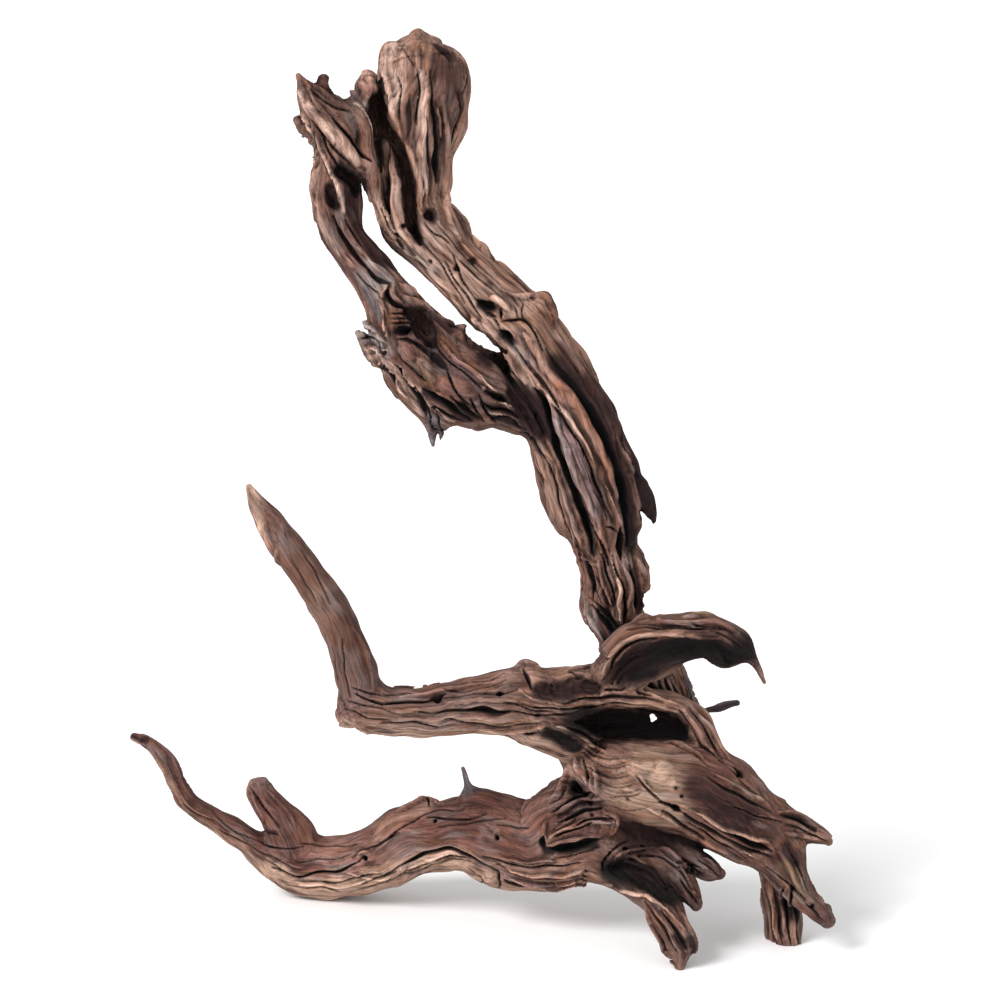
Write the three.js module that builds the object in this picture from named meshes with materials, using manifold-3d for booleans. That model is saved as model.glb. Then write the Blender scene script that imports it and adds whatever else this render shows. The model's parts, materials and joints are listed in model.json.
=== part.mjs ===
// Branching root wood: one grown piece with a knobbed crown, a twisted trunk with a burl, a hollow claw root
// and several legs, split at its main forks into one solid per limb.
// Millimetres, +Z up, origin at the centre of the base of its box, standing on its three lowest points.
import * as THREE from 'three';
import { mergeVertices } from 'three/addons/utils/BufferGeometryUtils.js';
import Module from 'manifold-3d';

// ---------------------------------------------------------------- driving dimensions
const GRID = 0.5;                 // mm per unit of the layout grid, at the middle of the wood
const VIEW_DISTANCE = 1388.9;     // mm, eye point of the layout grid to the middle of the wood
const VIEW_TILT = 12;             // degrees that the layout view looks down
const MID_HEIGHT = 229.0;         // mm, height of the layout grid's middle above the floor
const BASE_SHIFT = [11.476, -8.646];  // mm, layout frame to the centre of the box
const FORK_GAP = 0.34;            // mm between neighbouring solids at a fork
const RING_STEP = 9.0;            // mm between the rings of a limb
const SMOOTH = [0.86, 0.58, 0.50];
const WOOD_BROWN = 0x7a5c50;
const WOOD_PALE = 0xa08472;
const WOOD_DARK = 0x4a3530;
const WOOD_ROUGHNESS = 0.82;

// ---------------------------------------------------------------- limbs
// Each station: [grid x, grid y down, depth mm (+ is away), half width in grid units, half depth in mm].
const LIMBS = {
  trunk_lower: { sides: 14, colour: WOOD_BROWN, flute: 0.09, st: [
    [547, 372, 12, 36, 17], [561, 400, 12, 41, 19], [574, 433, 12, 45, 20], [586, 470, 13, 49, 21],
    [597, 503, 14, 51, 20], [604, 527, 14, 43, 18], [606, 550, 15, 31, 16], [615, 578, 15, 34, 16],
    [613, 600, 16, 30, 15], [617, 620, 16, 29, 15]] },
  trunk_upper: { sides: 12, colour: WOOD_BROWN, flute: 0.08, st: [
    [430, 237, 16, 35, 16], [447, 257, 15, 29, 15], [458, 269, 14, 28, 15], [480, 291, 13, 31, 15],
    [506, 316, 12, 32, 16], [529, 341, 12, 34, 17], [547, 372, 12, 36, 17]] },
  crown_knob: { sides: 14, colour: WOOD_PALE, flute: 0.08, st: [
    [417, 33, 36, 9, 8], [415, 44, 35, 30, 15], [419, 55, 34, 40, 18], [423, 67, 33, 45, 20],
    [426, 82, 32, 43.5, 20], [419, 102, 30, 49, 20], [415, 125, 27, 49, 19], [412, 150, 24, 43, 18],
    [413, 175, 21, 39, 17], [412, 200, 19, 37, 17], [417, 218, 17, 38, 17], [430, 237, 16, 35, 16]] },
  trunk_foot: { sides: 12, colour: WOOD_BROWN, flute: 0.08, st: [
    [617, 620, 16, 29, 15], [637, 652, 20, 27, 14], [662, 682, 22, 24, 13], [678, 706, 21, 19, 12],
    [690, 736, 16, 17, 11], [700, 762, 8, 16, 10]] },
  crown_wing: { sides: 10, colour: WOOD_PALE, flute: 0.09, st: [
    [299, 75, -6, 3, 2.5], [303, 85, -4, 7, 4], [312, 99, 0, 16, 8], [323, 112, 5, 25, 11],
    [334, 125, 9, 32, 13], [340, 140, 12, 29, 13], [343, 165, 13, 28, 13], [338, 187, 12, 26, 12]] },
  left_limb: { sides: 10, colour: WOOD_BROWN, flute: 0.08, st: [
    [338, 187, 12, 26, 12], [338, 211, 10, 23, 12], [344, 235, 9, 20, 12], [359, 256, 8, 20, 12],
    [373, 274, 7, 20, 12], [386, 292, 6, 25, 13]] },
  burl: { sides: 14, colour: WOOD_DARK, flute: 0.12, st: [
    [386, 292, 6, 25, 13], [395, 309, 5, 29, 15], [408, 333, 3, 37, 18], [425, 359, 2, 45, 20],
    [450, 381, 3, 49, 21], [478, 395, 5, 40, 19], [503, 405, 8, 25, 16], [530, 420, 12, 18, 13]] },
  root_ball: { sides: 14, colour: WOOD_BROWN, flute: 0.06, st: [
    [582, 766, 4, 20, 15], [598, 770, 2, 32, 20], [620, 777, 0, 41, 23], [645, 785, -3, 46, 25],
    [683, 788, -4, 47, 25], [714, 799, -5, 48, 23], [742, 820, -7, 42, 19], [764, 836, -9, 36, 16],
    [780, 852, -11, 26, 13]] },
  root_lid: { sides: 10, colour: WOOD_PALE, flute: 0.06, st: [
    [572, 692, 1, 25, 15], [590, 691, 0, 23, 13], [620, 697, -1, 13, 9], [650, 699, -1, 11, 8],
    [680, 707, 0, 12, 8], [697, 722, 0, 14, 9], [706, 740, 0, 14, 9], [714, 757, 0, 12, 8]] },
  mid_root: { sides: 12, colour: WOOD_BROWN, flute: 0.07, st: [
    [343, 716, -15, 9, 7], [352, 711, -15, 20, 12], [368, 708, -14, 27, 15], [392, 712, -12, 24, 15],
    [430, 712, -8, 25, 16], [460, 707, -5, 28, 17], [496, 703, -2, 32, 18], [524, 703, 1, 39, 20],
    [548, 711, 3, 41, 20], [572, 717, 2, 44, 19]] },
  horn: { sides: 10, colour: SMOOTH, flute: 0.03, st: [
    [249, 488, -44, 3.6, 2.5], [254, 498, -43, 7, 4.5], [264, 513, -41, 12, 6], [284, 543, -36, 17, 8.5],
    [302, 567, -32, 17, 9], [320, 592, -27, 18, 9.5], [337, 620, -23, 19, 10], [348, 648, -19, 20, 11],
    [356, 673, -16, 22, 12], [360, 697, -14, 19, 11]] },
  low_root: { sides: 14, colour: WOOD_BROWN, flute: 0.06, st: [
    [624, 838, -2, 32, 17], [602, 830, -1, 42, 21], [572, 831, 4, 54, 24], [540, 845, 11, 46, 23], [505, 843, 19, 46, 22],
    [469, 834, 27, 37, 20], [440, 836, 33, 36, 19], [411, 840, 39, 37, 19], [382, 856, 46, 34, 18],
    [347, 866, 52, 31, 16], [314, 867, 56, 31.5, 15], [285, 862, 56, 25, 13], [262, 850, 55, 17, 10]] },
  low_root_tip: { sides: 8, colour: WOOD_BROWN, flute: 0.03, st: [
    [262, 850, 55, 17, 10], [247, 840, 54, 13, 8], [230, 829, 53, 12, 7], [215, 820, 51, 11, 6],
    [200, 811, 49, 9, 5], [186, 800, 47, 10, 5], [176, 781, 44, 8.5, 4.5], [168, 763, 42, 8.5, 4.5],
    [156, 749, 40, 7.5, 4], [145, 741, 38, 5.5, 3], [133, 736, 37, 4, 2.5]] },
  low_root_stub: { sides: 10, colour: WOOD_BROWN, flute: 0.05, st: [
    [256, 778, 50, 7, 4], [256, 788, 50, 11, 6], [264, 799, 51, 14, 8], [276, 813, 52, 18, 9],
    [288, 830, 53, 24, 10], [296, 848, 54, 25, 10]] },
  low_root_twig: { sides: 8, colour: WOOD_DARK, flute: 0.02, st: [
    [462, 769, 27, 2, 1], [465, 778, 27, 2.5, 1.3], [470, 789, 27, 5, 2.2], [476, 802, 27, 8, 3.5]] },
  claw_root: { sides: 14, colour: WOOD_DARK, flute: 0.04, st: [
    [598, 688, -4, 12, 10], [609, 664, -8, 22, 14], [634, 649, -12, 30, 15], [665, 642, -17, 28, 15],
    [692, 638, -22, 25, 14], [720, 642, -27, 24, 13], [740, 648, -31, 17, 9], [753, 660, -33, 9, 6],
    [761, 674, -34, 4, 3], [764, 682, -34, 1.8, 1.4]] },
  right_prong: { sides: 10, colour: WOOD_BROWN, flute: 0.06, st: [
    [766, 820, -9, 30, 13], [783, 823, -9, 22, 11], [799, 826, -8, 16, 8], [814, 833, -8, 10, 5],
    [825, 840, -8, 7, 3], [831, 845, -8, 3, 1.5]] },
  right_toe: { sides: 10, colour: WOOD_BROWN, flute: 0.05, st: [
    [771, 846, -12, 27, 12], [784, 866, -17, 22, 11], [798, 888, -22, 15, 10], [811, 905, -27, 12, 8],
    [822, 916, -30, 10, 7], [829, 926, -32, 5, 4]] },
  sawn_foot: { sides: 12, colour: WOOD_BROWN, flute: 0.07, st: [
    [760, 826, -4, 18, 12], [771, 848, -1, 19, 12], [777, 868, 0, 18, 11], [780, 887, -1, 17, 11], [784, 912, -5, 17, 11], [786, 938, -9, 16, 10],
    [788, 966, -13, 15, 10]] },
  front_leg: { sides: 12, colour: WOOD_BROWN, flute: 0.06, st: [
    [600, 860, -6, 23, 14], [622, 870, -14, 22, 13], [648, 888, -26, 20, 12], [664, 909, -36, 18, 11],
    [672, 927, -41, 17, 10], [680, 943, -45, 16, 9], [681, 956, -47, 9, 6], [680, 970, -49, 4, 3]] },
  front_toe: { sides: 10, colour: WOOD_BROWN, flute: 0.05, st: [
    [640, 846, -4, 14, 10], [662, 860, -15, 14, 9], [680, 878, -26, 14, 8], [690, 893, -31, 12, 6],
    [696, 905, -33, 6, 4]] },
  front_prong: { sides: 10, colour: WOOD_BROWN, flute: 0.05, st: [
    [656, 834, 0, 20, 10], [684, 854, -9, 16, 9], [702, 866, -15, 12.5, 8], [714, 871, -18, 10, 6],
    [720, 874, -19, 6, 3]] },
  back_twig: { sides: 8, colour: WOOD_DARK, flute: 0.02, st: [
    [684, 714, 22, 3, 1.6], [700, 712, 31, 2, 1.1], [712, 709, 34, 2.6, 1.4], [722, 706, 36, 4.6, 2.4],
    [737, 703, 38, 3.8, 2]] },
};

// Broken points that stand out of a limb, joined to it: [limb, stations].
const SPURS = [
  ['burl', [[418, 384, 2, 18, 9], [426, 408, 1, 12, 6], [431, 428, 1, 7, 3.5], [434, 445, 1, 2.6, 1.6]]],
  ['burl', [[452, 392, 2, 18, 8], [451, 412, 2, 12, 6], [447, 432, 2, 3, 2]]],
  ['burl', [[386, 318, 5, 14, 7], [372, 324, 5, 8, 4], [363, 322, 5, 2.5, 1.6]]],
  ['burl', [[398, 352, 3, 16, 8], [376, 350, 3, 11, 5], [359, 333, 3, 3, 2]]],
  ['crown_wing', [[324, 100, 3, 12, 6], [323, 88, 1, 8, 4], [323, 78, 0, 5, 2.6]]],
  ['crown_wing', [[316, 130, 6, 10, 5], [303, 128, 3, 7, 3.6], [297, 120, 1, 4.5, 2.2]]],
  ['crown_wing', [[350, 124, 13, 16, 8], [360, 105, 17, 17, 8], [367, 91, 20, 13, 7], [368, 76, 21, 9, 4.6], [368, 71, 21, 5, 3]]],
  ['trunk_lower', [[634, 492, 12, 18, 9], [646, 508, 12, 10, 5], [653, 522, 12, 2.6, 1.6]]],
  ['trunk_upper', [[530, 316, 10, 18, 8], [540, 304, 10, 13, 6], [543, 293, 10, 9, 4]]],
  ['root_ball', [[752, 792, -5, 14, 7], [768, 798, -5, 6, 3.5], [782, 802, -5, 2, 1.4]]],
  ['root_ball', [[594, 786, 5, 20, 12], [582, 758, 8, 22, 12], [588, 738, 11, 26, 9], [612, 727, 13, 24, 8], [645, 731, 13, 18, 7]]],
  ['root_ball', [[640, 820, 0, 22, 12], [668, 832, -1, 16, 9], [682, 842, -2, 10, 6]]],
];

// Hollows cut from a limb: [limb, stations].
const HOLLOWS = [
  ['claw_root', [[592, 692, -18, 7, 9], [614, 674, -24, 14, 12], [642, 664, -30, 18, 14],
    [675, 655, -35, 15, 13], [705, 652, -39, 13, 12], [728, 655, -42, 9, 9], [741, 659, -42, 4, 5]]],
  ['front_leg', [[612, 870, -24, 5, 6], [634, 870, -28, 12, 9], [656, 882, -38, 14, 10],
    [672, 896, -46, 8, 8]]],
];

// Where two limbs meet, the second is cut to the first: [kept, cut].
const FORKS = [
  ['trunk_upper', 'trunk_lower'], ['trunk_upper', 'crown_knob'], ['trunk_lower', 'trunk_foot'],
  ['crown_wing', 'left_limb'], ['left_limb', 'burl'], ['low_root', 'low_root_tip'],
  ['root_ball', 'root_lid'], ['root_ball', 'mid_root'], ['root_lid', 'mid_root'], ['mid_root', 'horn'],
  ['root_ball', 'claw_root'], ['root_lid', 'claw_root'], ['mid_root', 'claw_root'],
  ['root_ball', 'horn'],
  ['root_ball', 'trunk_foot'], ['root_lid', 'trunk_foot'], ['claw_root', 'trunk_foot'], ['claw_root', 'trunk_lower'],
  ['crown_knob', 'crown_wing'], ['crown_knob', 'left_limb'], ['trunk_upper', 'left_limb'],
  ['trunk_upper', 'burl'], ['trunk_lower', 'burl'], ['root_ball', 'low_root'], ['mid_root', 'low_root'],
  ['low_root', 'low_root_stub'], ['low_root_tip', 'low_root_stub'], ['low_root', 'low_root_twig'],
  ['root_ball', 'right_prong'], ['root_ball', 'right_toe'], ['right_prong', 'right_toe'],
  ['root_ball', 'sawn_foot'], ['right_toe', 'sawn_foot'], ['right_prong', 'sawn_foot'],
  ['root_ball', 'front_leg'], ['low_root', 'front_leg'], ['root_ball', 'front_toe'],
  ['low_root', 'front_toe'], ['front_leg', 'front_toe'], ['root_ball', 'front_prong'],
  ['low_root', 'front_prong'], ['front_leg', 'front_prong'], ['front_toe', 'front_prong'],
  ['trunk_foot', 'back_twig'], ['root_ball', 'back_twig'], ['root_lid', 'back_twig'],
];

// ---------------------------------------------------------------- layout grid to space
const tilt = VIEW_TILT * Math.PI / 180;
const viewDir = new THREE.Vector3(0, Math.cos(tilt), -Math.sin(tilt));
const upDir = new THREE.Vector3(0, Math.sin(tilt), Math.cos(tilt));
const eye = new THREE.Vector3(0, 0, MID_HEIGHT).addScaledVector(viewDir, -VIEW_DISTANCE);

function place([gx, gy, depth, halfWidth, halfDepth]) {
  const d = viewDir.clone().add(new THREE.Vector3((gx - 500) * GRID / VIEW_DISTANCE, 0, 0))
    .addScaledVector(upDir, -(gy - 500) * GRID / VIEW_DISTANCE);
  const t = (depth - eye.y) / d.y;
  const p = eye.clone().addScaledVector(d, t);
  return { p, a: halfWidth * GRID * t / VIEW_DISTANCE, b: halfDepth };
}

// ---------------------------------------------------------------- limb surfaces
function noise(k) { const s = Math.sin(k * 127.1 + 11.7) * 43758.5453; return s - Math.floor(s); }

function spline(list, u) {
  const n = list.length - 1;
  const f = Math.min(Math.max(u * n, 0), n - 1e-9);
  const i = Math.floor(f), t = f - i;
  const q = [Math.max(i - 1, 0), i, i + 1, Math.min(i + 2, n)].map((j) => list[j]);
  return q[0].map((_, k) => 0.5 * (2 * q[1][k] + (q[2][k] - q[0][k]) * t
    + (2 * q[0][k] - 5 * q[1][k] + 4 * q[2][k] - q[3][k]) * t * t
    + (3 * q[1][k] - q[0][k] - 3 * q[2][k] + q[3][k]) * t * t * t));
}

function limbGeometry(stations, { sides = 12, flute = 0, seed = 1, grow = 0, startCut = false, endCut = false, step = RING_STEP }) {
  const placed = stations.map(place);
  const rows = placed.map(({ p, a, b }) => [p.x, p.y, p.z, a, b]);
  const rough = placed.slice(1).reduce((s, c, i) => s + c.p.distanceTo(placed[i].p), 0);
  const rings = Math.max(stations.length - 1, Math.round(rough / step));
  const line = [];
  for (let i = 0; i <= rings; i++) line.push(spline(rows, i / rings));
  const centre = line.map((r) => new THREE.Vector3(r[0], r[1], r[2]));
  const points = [];
  const count = line.length;
  for (let i = 0; i < count; i++) {
    const tan = centre[Math.min(i + 1, count - 1)].clone().sub(centre[Math.max(i - 1, 0)]).normalize();
    const side = new THREE.Vector3().crossVectors(tan, viewDir).normalize();
    const deep = new THREE.Vector3().crossVectors(side, tan).normalize();
    const c = centre[i].clone();
    if (i === 0 && startCut) c.addScaledVector(tan, FORK_GAP / 2 - grow);
    if (i === count - 1 && endCut) c.addScaledVector(tan, -FORK_GAP / 2 + grow);
    if (i === 0 && !startCut && grow) c.addScaledVector(tan, -grow);
    if (i === count - 1 && !endCut && grow) c.addScaledVector(tan, grow);
    const a = Math.max(line[i][3], 0.4) + grow, b = Math.max(line[i][4], 0.4) + grow;
    for (let j = 0; j < sides; j++) {
      const th = j / sides * Math.PI * 2;
      const drift = i / count * 1.3;
      const ridge = Math.cos(4 * (th + drift) + noise(seed) * 6.28) * 0.6
        + Math.cos(7 * (th - drift * 0.5) + noise(seed + 3) * 6.28) * 0.5
        + (noise(seed * 31 + i * 17 + j * 7) - 0.5) * 0.5;
      const m = 1 + flute * ridge * (0.35 + 0.65 * Math.abs(Math.sin(th)));
      points.push(c.clone().addScaledVector(side, a * m * Math.cos(th)).addScaledVector(deep, b * m * Math.sin(th)));
    }
  }
  const verts = points.flatMap((p) => [p.x, p.y, p.z]);
  const first = verts.length / 3, last = first + 1;
  const mean = (k) => { const s = new THREE.Vector3(); for (let j = 0; j < sides; j++) s.add(points[k * sides + j]); return s.divideScalar(sides); };
  const c0 = mean(0), c1 = mean(count - 1);
  verts.push(c0.x, c0.y, c0.z, c1.x, c1.y, c1.z);
  const tris = [];
  for (let i = 0; i < count - 1; i++) for (let j = 0; j < sides; j++) {
    const k = (j + 1) % sides, a = i * sides + j, b = i * sides + k, c = a + sides, d = b + sides;
    if ((i + j) % 2) tris.push(a, b, d, a, d, c); else tris.push(a, b, c, b, d, c);
  }
  for (let j = 0; j < sides; j++) {
    const k = (j + 1) % sides, e = (count - 1) * sides;
    tris.push(first, k, j, last, e + j, e + k);
  }
  const g = new THREE.BufferGeometry();
  g.setAttribute('position', new THREE.Float32BufferAttribute(verts, 3));
  g.setIndex(tris);
  return g;
}

// ---------------------------------------------------------------- solids
const wasm = await Module();
wasm.setup();

function solid(geometry) {
  const g = mergeVertices(geometry, 1e-4);
  const m = new wasm.Mesh({ numProp: 3, vertProperties: new Float32Array(g.attributes.position.array), triVerts: new Uint32Array(g.index.array) });
  m.merge();
  const s = new wasm.Manifold(m);
  return s.volume() < 0 ? solid(flip(geometry)) : s;
}

function flip(geometry) {
  const g = geometry.clone(), i = g.index.array;
  for (let k = 0; k < i.length; k += 3) { const t = i[k]; i[k] = i[k + 1]; i[k + 1] = t; }
  return g;
}

function biggest(s) {
  const parts = s.decompose();
  return parts.reduce((best, p) => (p.volume() > best.volume() ? p : best));
}

const floorCut = new THREE.BoxGeometry(1200, 1200, 100);
floorCut.translate(0, 0, -50);
floorCut.deleteAttribute('normal'); floorCut.deleteAttribute('uv');

// Limbs that run on into each other share a ring, with the fork gap between the two faces.
const RUNS_ON_END = { crown_knob: 1, trunk_upper: 1, trunk_lower: 1, crown_wing: 1, left_limb: 1, low_root: 1 };
const RUNS_ON_START = { trunk_upper: 1, trunk_lower: 1, trunk_foot: 1, left_limb: 1, burl: 1, low_root_tip: 1 };

const made = {}, grown = {};
Object.entries(LIMBS).forEach(([name, limb], n) => {
  const opt = { sides: limb.sides, flute: limb.flute, seed: n + 1, startCut: !!RUNS_ON_START[name], endCut: !!RUNS_ON_END[name] };
  made[name] = solid(limbGeometry(limb.st, opt));
  grown[name] = solid(limbGeometry(limb.st, { ...opt, grow: FORK_GAP }));
});
SPURS.forEach(([name, st], n) => {
  made[name] = made[name].add(solid(limbGeometry(st, { sides: 7, flute: 0.03, seed: 40 + n, step: 7 })));
  grown[name] = grown[name].add(solid(limbGeometry(st, { sides: 7, flute: 0.03, seed: 40 + n, step: 7, grow: FORK_GAP })));
});
HOLLOWS.forEach(([name, st], n) => {
  made[name] = made[name].subtract(solid(limbGeometry(st, { sides: 10, seed: 60 + n, step: 10 })));
});
FORKS.forEach(([kept, cut]) => { made[cut] = made[cut].subtract(grown[kept]); });
const floorSolid = solid(floorCut);

const root = new THREE.Group();
root.name = 'root_wood';
for (const [name, limb] of Object.entries(LIMBS)) {
  const s = biggest(made[name].subtract(floorSolid));
  const m = s.getMesh();
  const g = new THREE.BufferGeometry();
  g.setAttribute('position', new THREE.Float32BufferAttribute(m.vertProperties, 3));
  g.setIndex(new THREE.Uint32BufferAttribute(m.triVerts, 1));
  g.computeVertexNormals();
  const colour = Array.isArray(limb.colour) ? new THREE.Color(...limb.colour.map((c) => c * 0.6)) : new THREE.Color(limb.colour);
  const mesh = new THREE.Mesh(g, new THREE.MeshStandardMaterial({ color: colour, roughness: WOOD_ROUGHNESS, metalness: 0 }));
  mesh.name = name;
  mesh.position.set(BASE_SHIFT[0], BASE_SHIFT[1], 0);
  root.add(mesh);
}

export default root;
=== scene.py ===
import json
import math
import time
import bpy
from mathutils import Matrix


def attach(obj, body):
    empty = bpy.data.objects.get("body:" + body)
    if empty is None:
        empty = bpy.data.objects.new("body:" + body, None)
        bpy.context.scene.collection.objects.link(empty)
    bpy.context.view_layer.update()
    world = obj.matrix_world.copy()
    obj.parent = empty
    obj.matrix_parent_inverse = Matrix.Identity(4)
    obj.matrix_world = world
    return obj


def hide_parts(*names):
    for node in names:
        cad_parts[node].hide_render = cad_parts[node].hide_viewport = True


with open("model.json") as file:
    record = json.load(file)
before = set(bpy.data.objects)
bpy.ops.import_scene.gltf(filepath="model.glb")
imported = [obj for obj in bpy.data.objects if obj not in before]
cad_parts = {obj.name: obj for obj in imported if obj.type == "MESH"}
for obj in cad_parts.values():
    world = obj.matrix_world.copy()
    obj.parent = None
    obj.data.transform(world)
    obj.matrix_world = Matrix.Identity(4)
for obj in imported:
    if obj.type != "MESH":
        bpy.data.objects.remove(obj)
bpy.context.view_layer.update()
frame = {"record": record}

from concurrent.futures import ThreadPoolExecutor

import bpy
import numpy as np
import openvdb as vdb
from mathutils import Matrix

T0 = time.time()
F = np.float32


def log(text):
    print(f"[wood] {time.time() - T0:6.1f} s  {text}", flush=True)


# ------------------------------------------------------------------ layout grid (same as the CAD part), mm
GRID, DIST, TILT, MID = 0.5, 1388.9, math.radians(12.0), 229.0
SHIFT = np.array([11.476, -8.646, 0.0])
VIEW = np.array([0.0, math.cos(TILT), -math.sin(TILT)])
UP = np.array([0.0, math.sin(TILT), math.cos(TILT)])
RIGHT = np.array([1.0, 0.0, 0.0])
EYE = np.array([0.0, 0.0, MID]) - DIST * VIEW
EYE_S = EYE + SHIFT


def place(g):
    """Grid x, grid y, depth in mm -> point in mm and mm per grid unit there."""
    g = np.asarray(g, float)
    d = VIEW + (g[:, 0:1] - 500) * GRID / DIST * RIGHT - (g[:, 1:2] - 500) * GRID / DIST * UP
    t = (g[:, 2] - EYE[1]) / d[:, 1]
    return EYE + d * t[:, None] + SHIFT, GRID * t / DIST


def ray(g):
    g = np.asarray(g, float)
    d = VIEW + (g[:, 0:1] - 500) * GRID / DIST * RIGHT - (g[:, 1:2] - 500) * GRID / DIST * UP
    return d / np.linalg.norm(d, axis=1, keepdims=True)


# ------------------------------------------------------------------ noise
_rng = np.random.RandomState(11)
PERM = np.tile(_rng.permutation(256).astype(np.int32), 3)
_g = _rng.normal(size=(256, 3))
GRAD = (_g / np.linalg.norm(_g, axis=1, keepdims=True)).astype(F)


def perlin(x, y, z):
    xi, yi, zi = np.floor(x), np.floor(y), np.floor(z)
    xf, yf, zf = (x - xi).astype(F), (y - yi).astype(F), (z - zi).astype(F)
    xi, yi, zi = xi.astype(np.int32) & 255, yi.astype(np.int32) & 255, zi.astype(np.int32) & 255
    u = xf * xf * xf * (xf * (xf * 6 - 15) + 10)
    v = yf * yf * yf * (yf * (yf * 6 - 15) + 10)
    w = zf * zf * zf * (zf * (zf * 6 - 15) + 10)
    pa, pb = PERM[xi] + yi, PERM[xi + 1] + yi
    out = []
    for p, dx in ((pa, 0), (pb, 1)):
        for q, dy in ((PERM[p] + zi, 0), (PERM[p + 1] + zi, 1)):
            for r, dz in ((PERM[q], 0), (PERM[q + 1], 1)):
                g = GRAD[r]
                out.append(g[:, 0] * (xf - dx) + g[:, 1] * (yf - dy) + g[:, 2] * (zf - dz))
    a0 = out[0] + w * (out[1] - out[0])
    a1 = out[2] + w * (out[3] - out[2])
    b0 = out[4] + w * (out[5] - out[4])
    b1 = out[6] + w * (out[7] - out[6])
    a = a0 + v * (a1 - a0)
    b = b0 + v * (b1 - b0)
    return (a + u * (b - a)) * F(1.6)


# ------------------------------------------------------------------ tubes: limbs, ridges and grooves alike
def catmull(rows, per):
    rows = np.asarray(rows, float)
    n = len(rows) - 1
    out = []
    for i in range(n):
        q0, q1, q2, q3 = rows[max(i - 1, 0)], rows[i], rows[i + 1], rows[min(i + 2, n)]
        for j in range(per):
            t = j / per
            out.append(0.5 * (2 * q1 + (q2 - q0) * t + (2 * q0 - 5 * q1 + 4 * q2 - q3) * t * t
                              + (3 * q1 - q0 - 3 * q2 + q3) * t ** 3))
    out.append(rows[-1])
    return np.array(out)


def resample(rows, step):
    p = rows[:, :3]
    seg = np.linalg.norm(np.diff(p, axis=0), axis=1)
    s = np.concatenate([[0], np.cumsum(seg)])
    m = max(2, int(round(s[-1] / step)) + 1)
    t = np.linspace(0, s[-1], m)
    return np.stack([np.interp(t, s, rows[:, k]) for k in range(rows.shape[1])], 1), t


def unit(v):
    return v / (np.linalg.norm(v, axis=-1, keepdims=True) + 1e-9)


class Tube:
    """A tapering elliptic tube along a line: side half width a, deep half width b."""

    def __init__(self, name, pts, a, b, deep=None, step=2.5, **opt):
        rows = np.column_stack([pts, a, b] + ([deep] if deep is not None else []))
        rows, self.s = resample(catmull(rows, 8) if len(rows) > 1 and opt.get("smooth", True) else rows, step)
        self.name, self.opt = name, opt
        self.C = rows[:, :3]
        self.a = np.maximum(rows[:, 3], 0.15)
        self.b = np.maximum(rows[:, 4], 0.15)
        t = np.gradient(self.C, axis=0)
        self.T = unit(t)
        if deep is not None:
            w = rows[:, 5:8] - (rows[:, 5:8] * self.T).sum(1, keepdims=True) * self.T
            self.W = unit(w)
            self.N = np.cross(self.T, self.W)
        else:
            self.N = unit(np.cross(self.T, VIEW))
            self.W = np.cross(self.N, self.T)
        self.len = self.s[-1]
        self.ds = self.s[1] - self.s[0]
        r = np.maximum(self.a, self.b)
        self.reach = opt.get("reach", 9.0)
        self.r = r
        self.lo = (self.C - (r + self.reach)[:, None]).min(0)
        self.hi = (self.C + (r + self.reach)[:, None]).max(0)
        self.tab = np.column_stack([self.C, self.N, self.W, self.T, self.a, self.b]).astype(F)
        self.C32 = self.C.astype(F)

    def local(self, P):
        """Position of points along and across the tube."""
        C = self.C32
        d2 = (P * P).sum(1)[:, None] + (C * C).sum(1)[None, :] - 2 * (P @ C.T)
        k = d2.argmin(1)
        q = P - C[k]
        f = k + (q * self.tab[k, 9:12]).sum(1) / F(self.ds)
        f = np.clip(f, 0, len(C) - 1).astype(F)
        i = np.minimum(f.astype(np.int32), len(C) - 2)
        fr = (f - i)[:, None]
        row = self.tab[i] * (1 - fr) + self.tab[i + 1] * fr
        q = P - row[:, :3]
        u = (q * row[:, 3:6]).sum(1)
        v = (q * row[:, 6:9]).sum(1)
        z = (q * row[:, 9:12]).sum(1)
        return f, u, v, z, row[:, 12], row[:, 13]

    def dist(self, P, want=False):
        f, u, v, z, a, b = self.local(P)
        end = (f <= 0) | (f >= len(self.C) - 1)
        cap = np.minimum(a, b) * F(self.opt.get("cap", 0.9))
        e = np.where(end, z / cap, 0).astype(F)
        un, vn = u / a, v / b
        k0 = np.sqrt(un * un + vn * vn + e * e) + F(1e-6)
        k1 = np.sqrt((un / a) ** 2 + (vn / b) ** 2 + (e / cap) ** 2) + F(1e-6)
        d = np.where(k0 < 0.6, (k0 - 1) * np.minimum(a, b), k0 * (k0 - 1) / k1)
        if want:
            return d, f * F(self.ds), u, v, un, vn
        return d


FAR = F(60.0)


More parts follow.
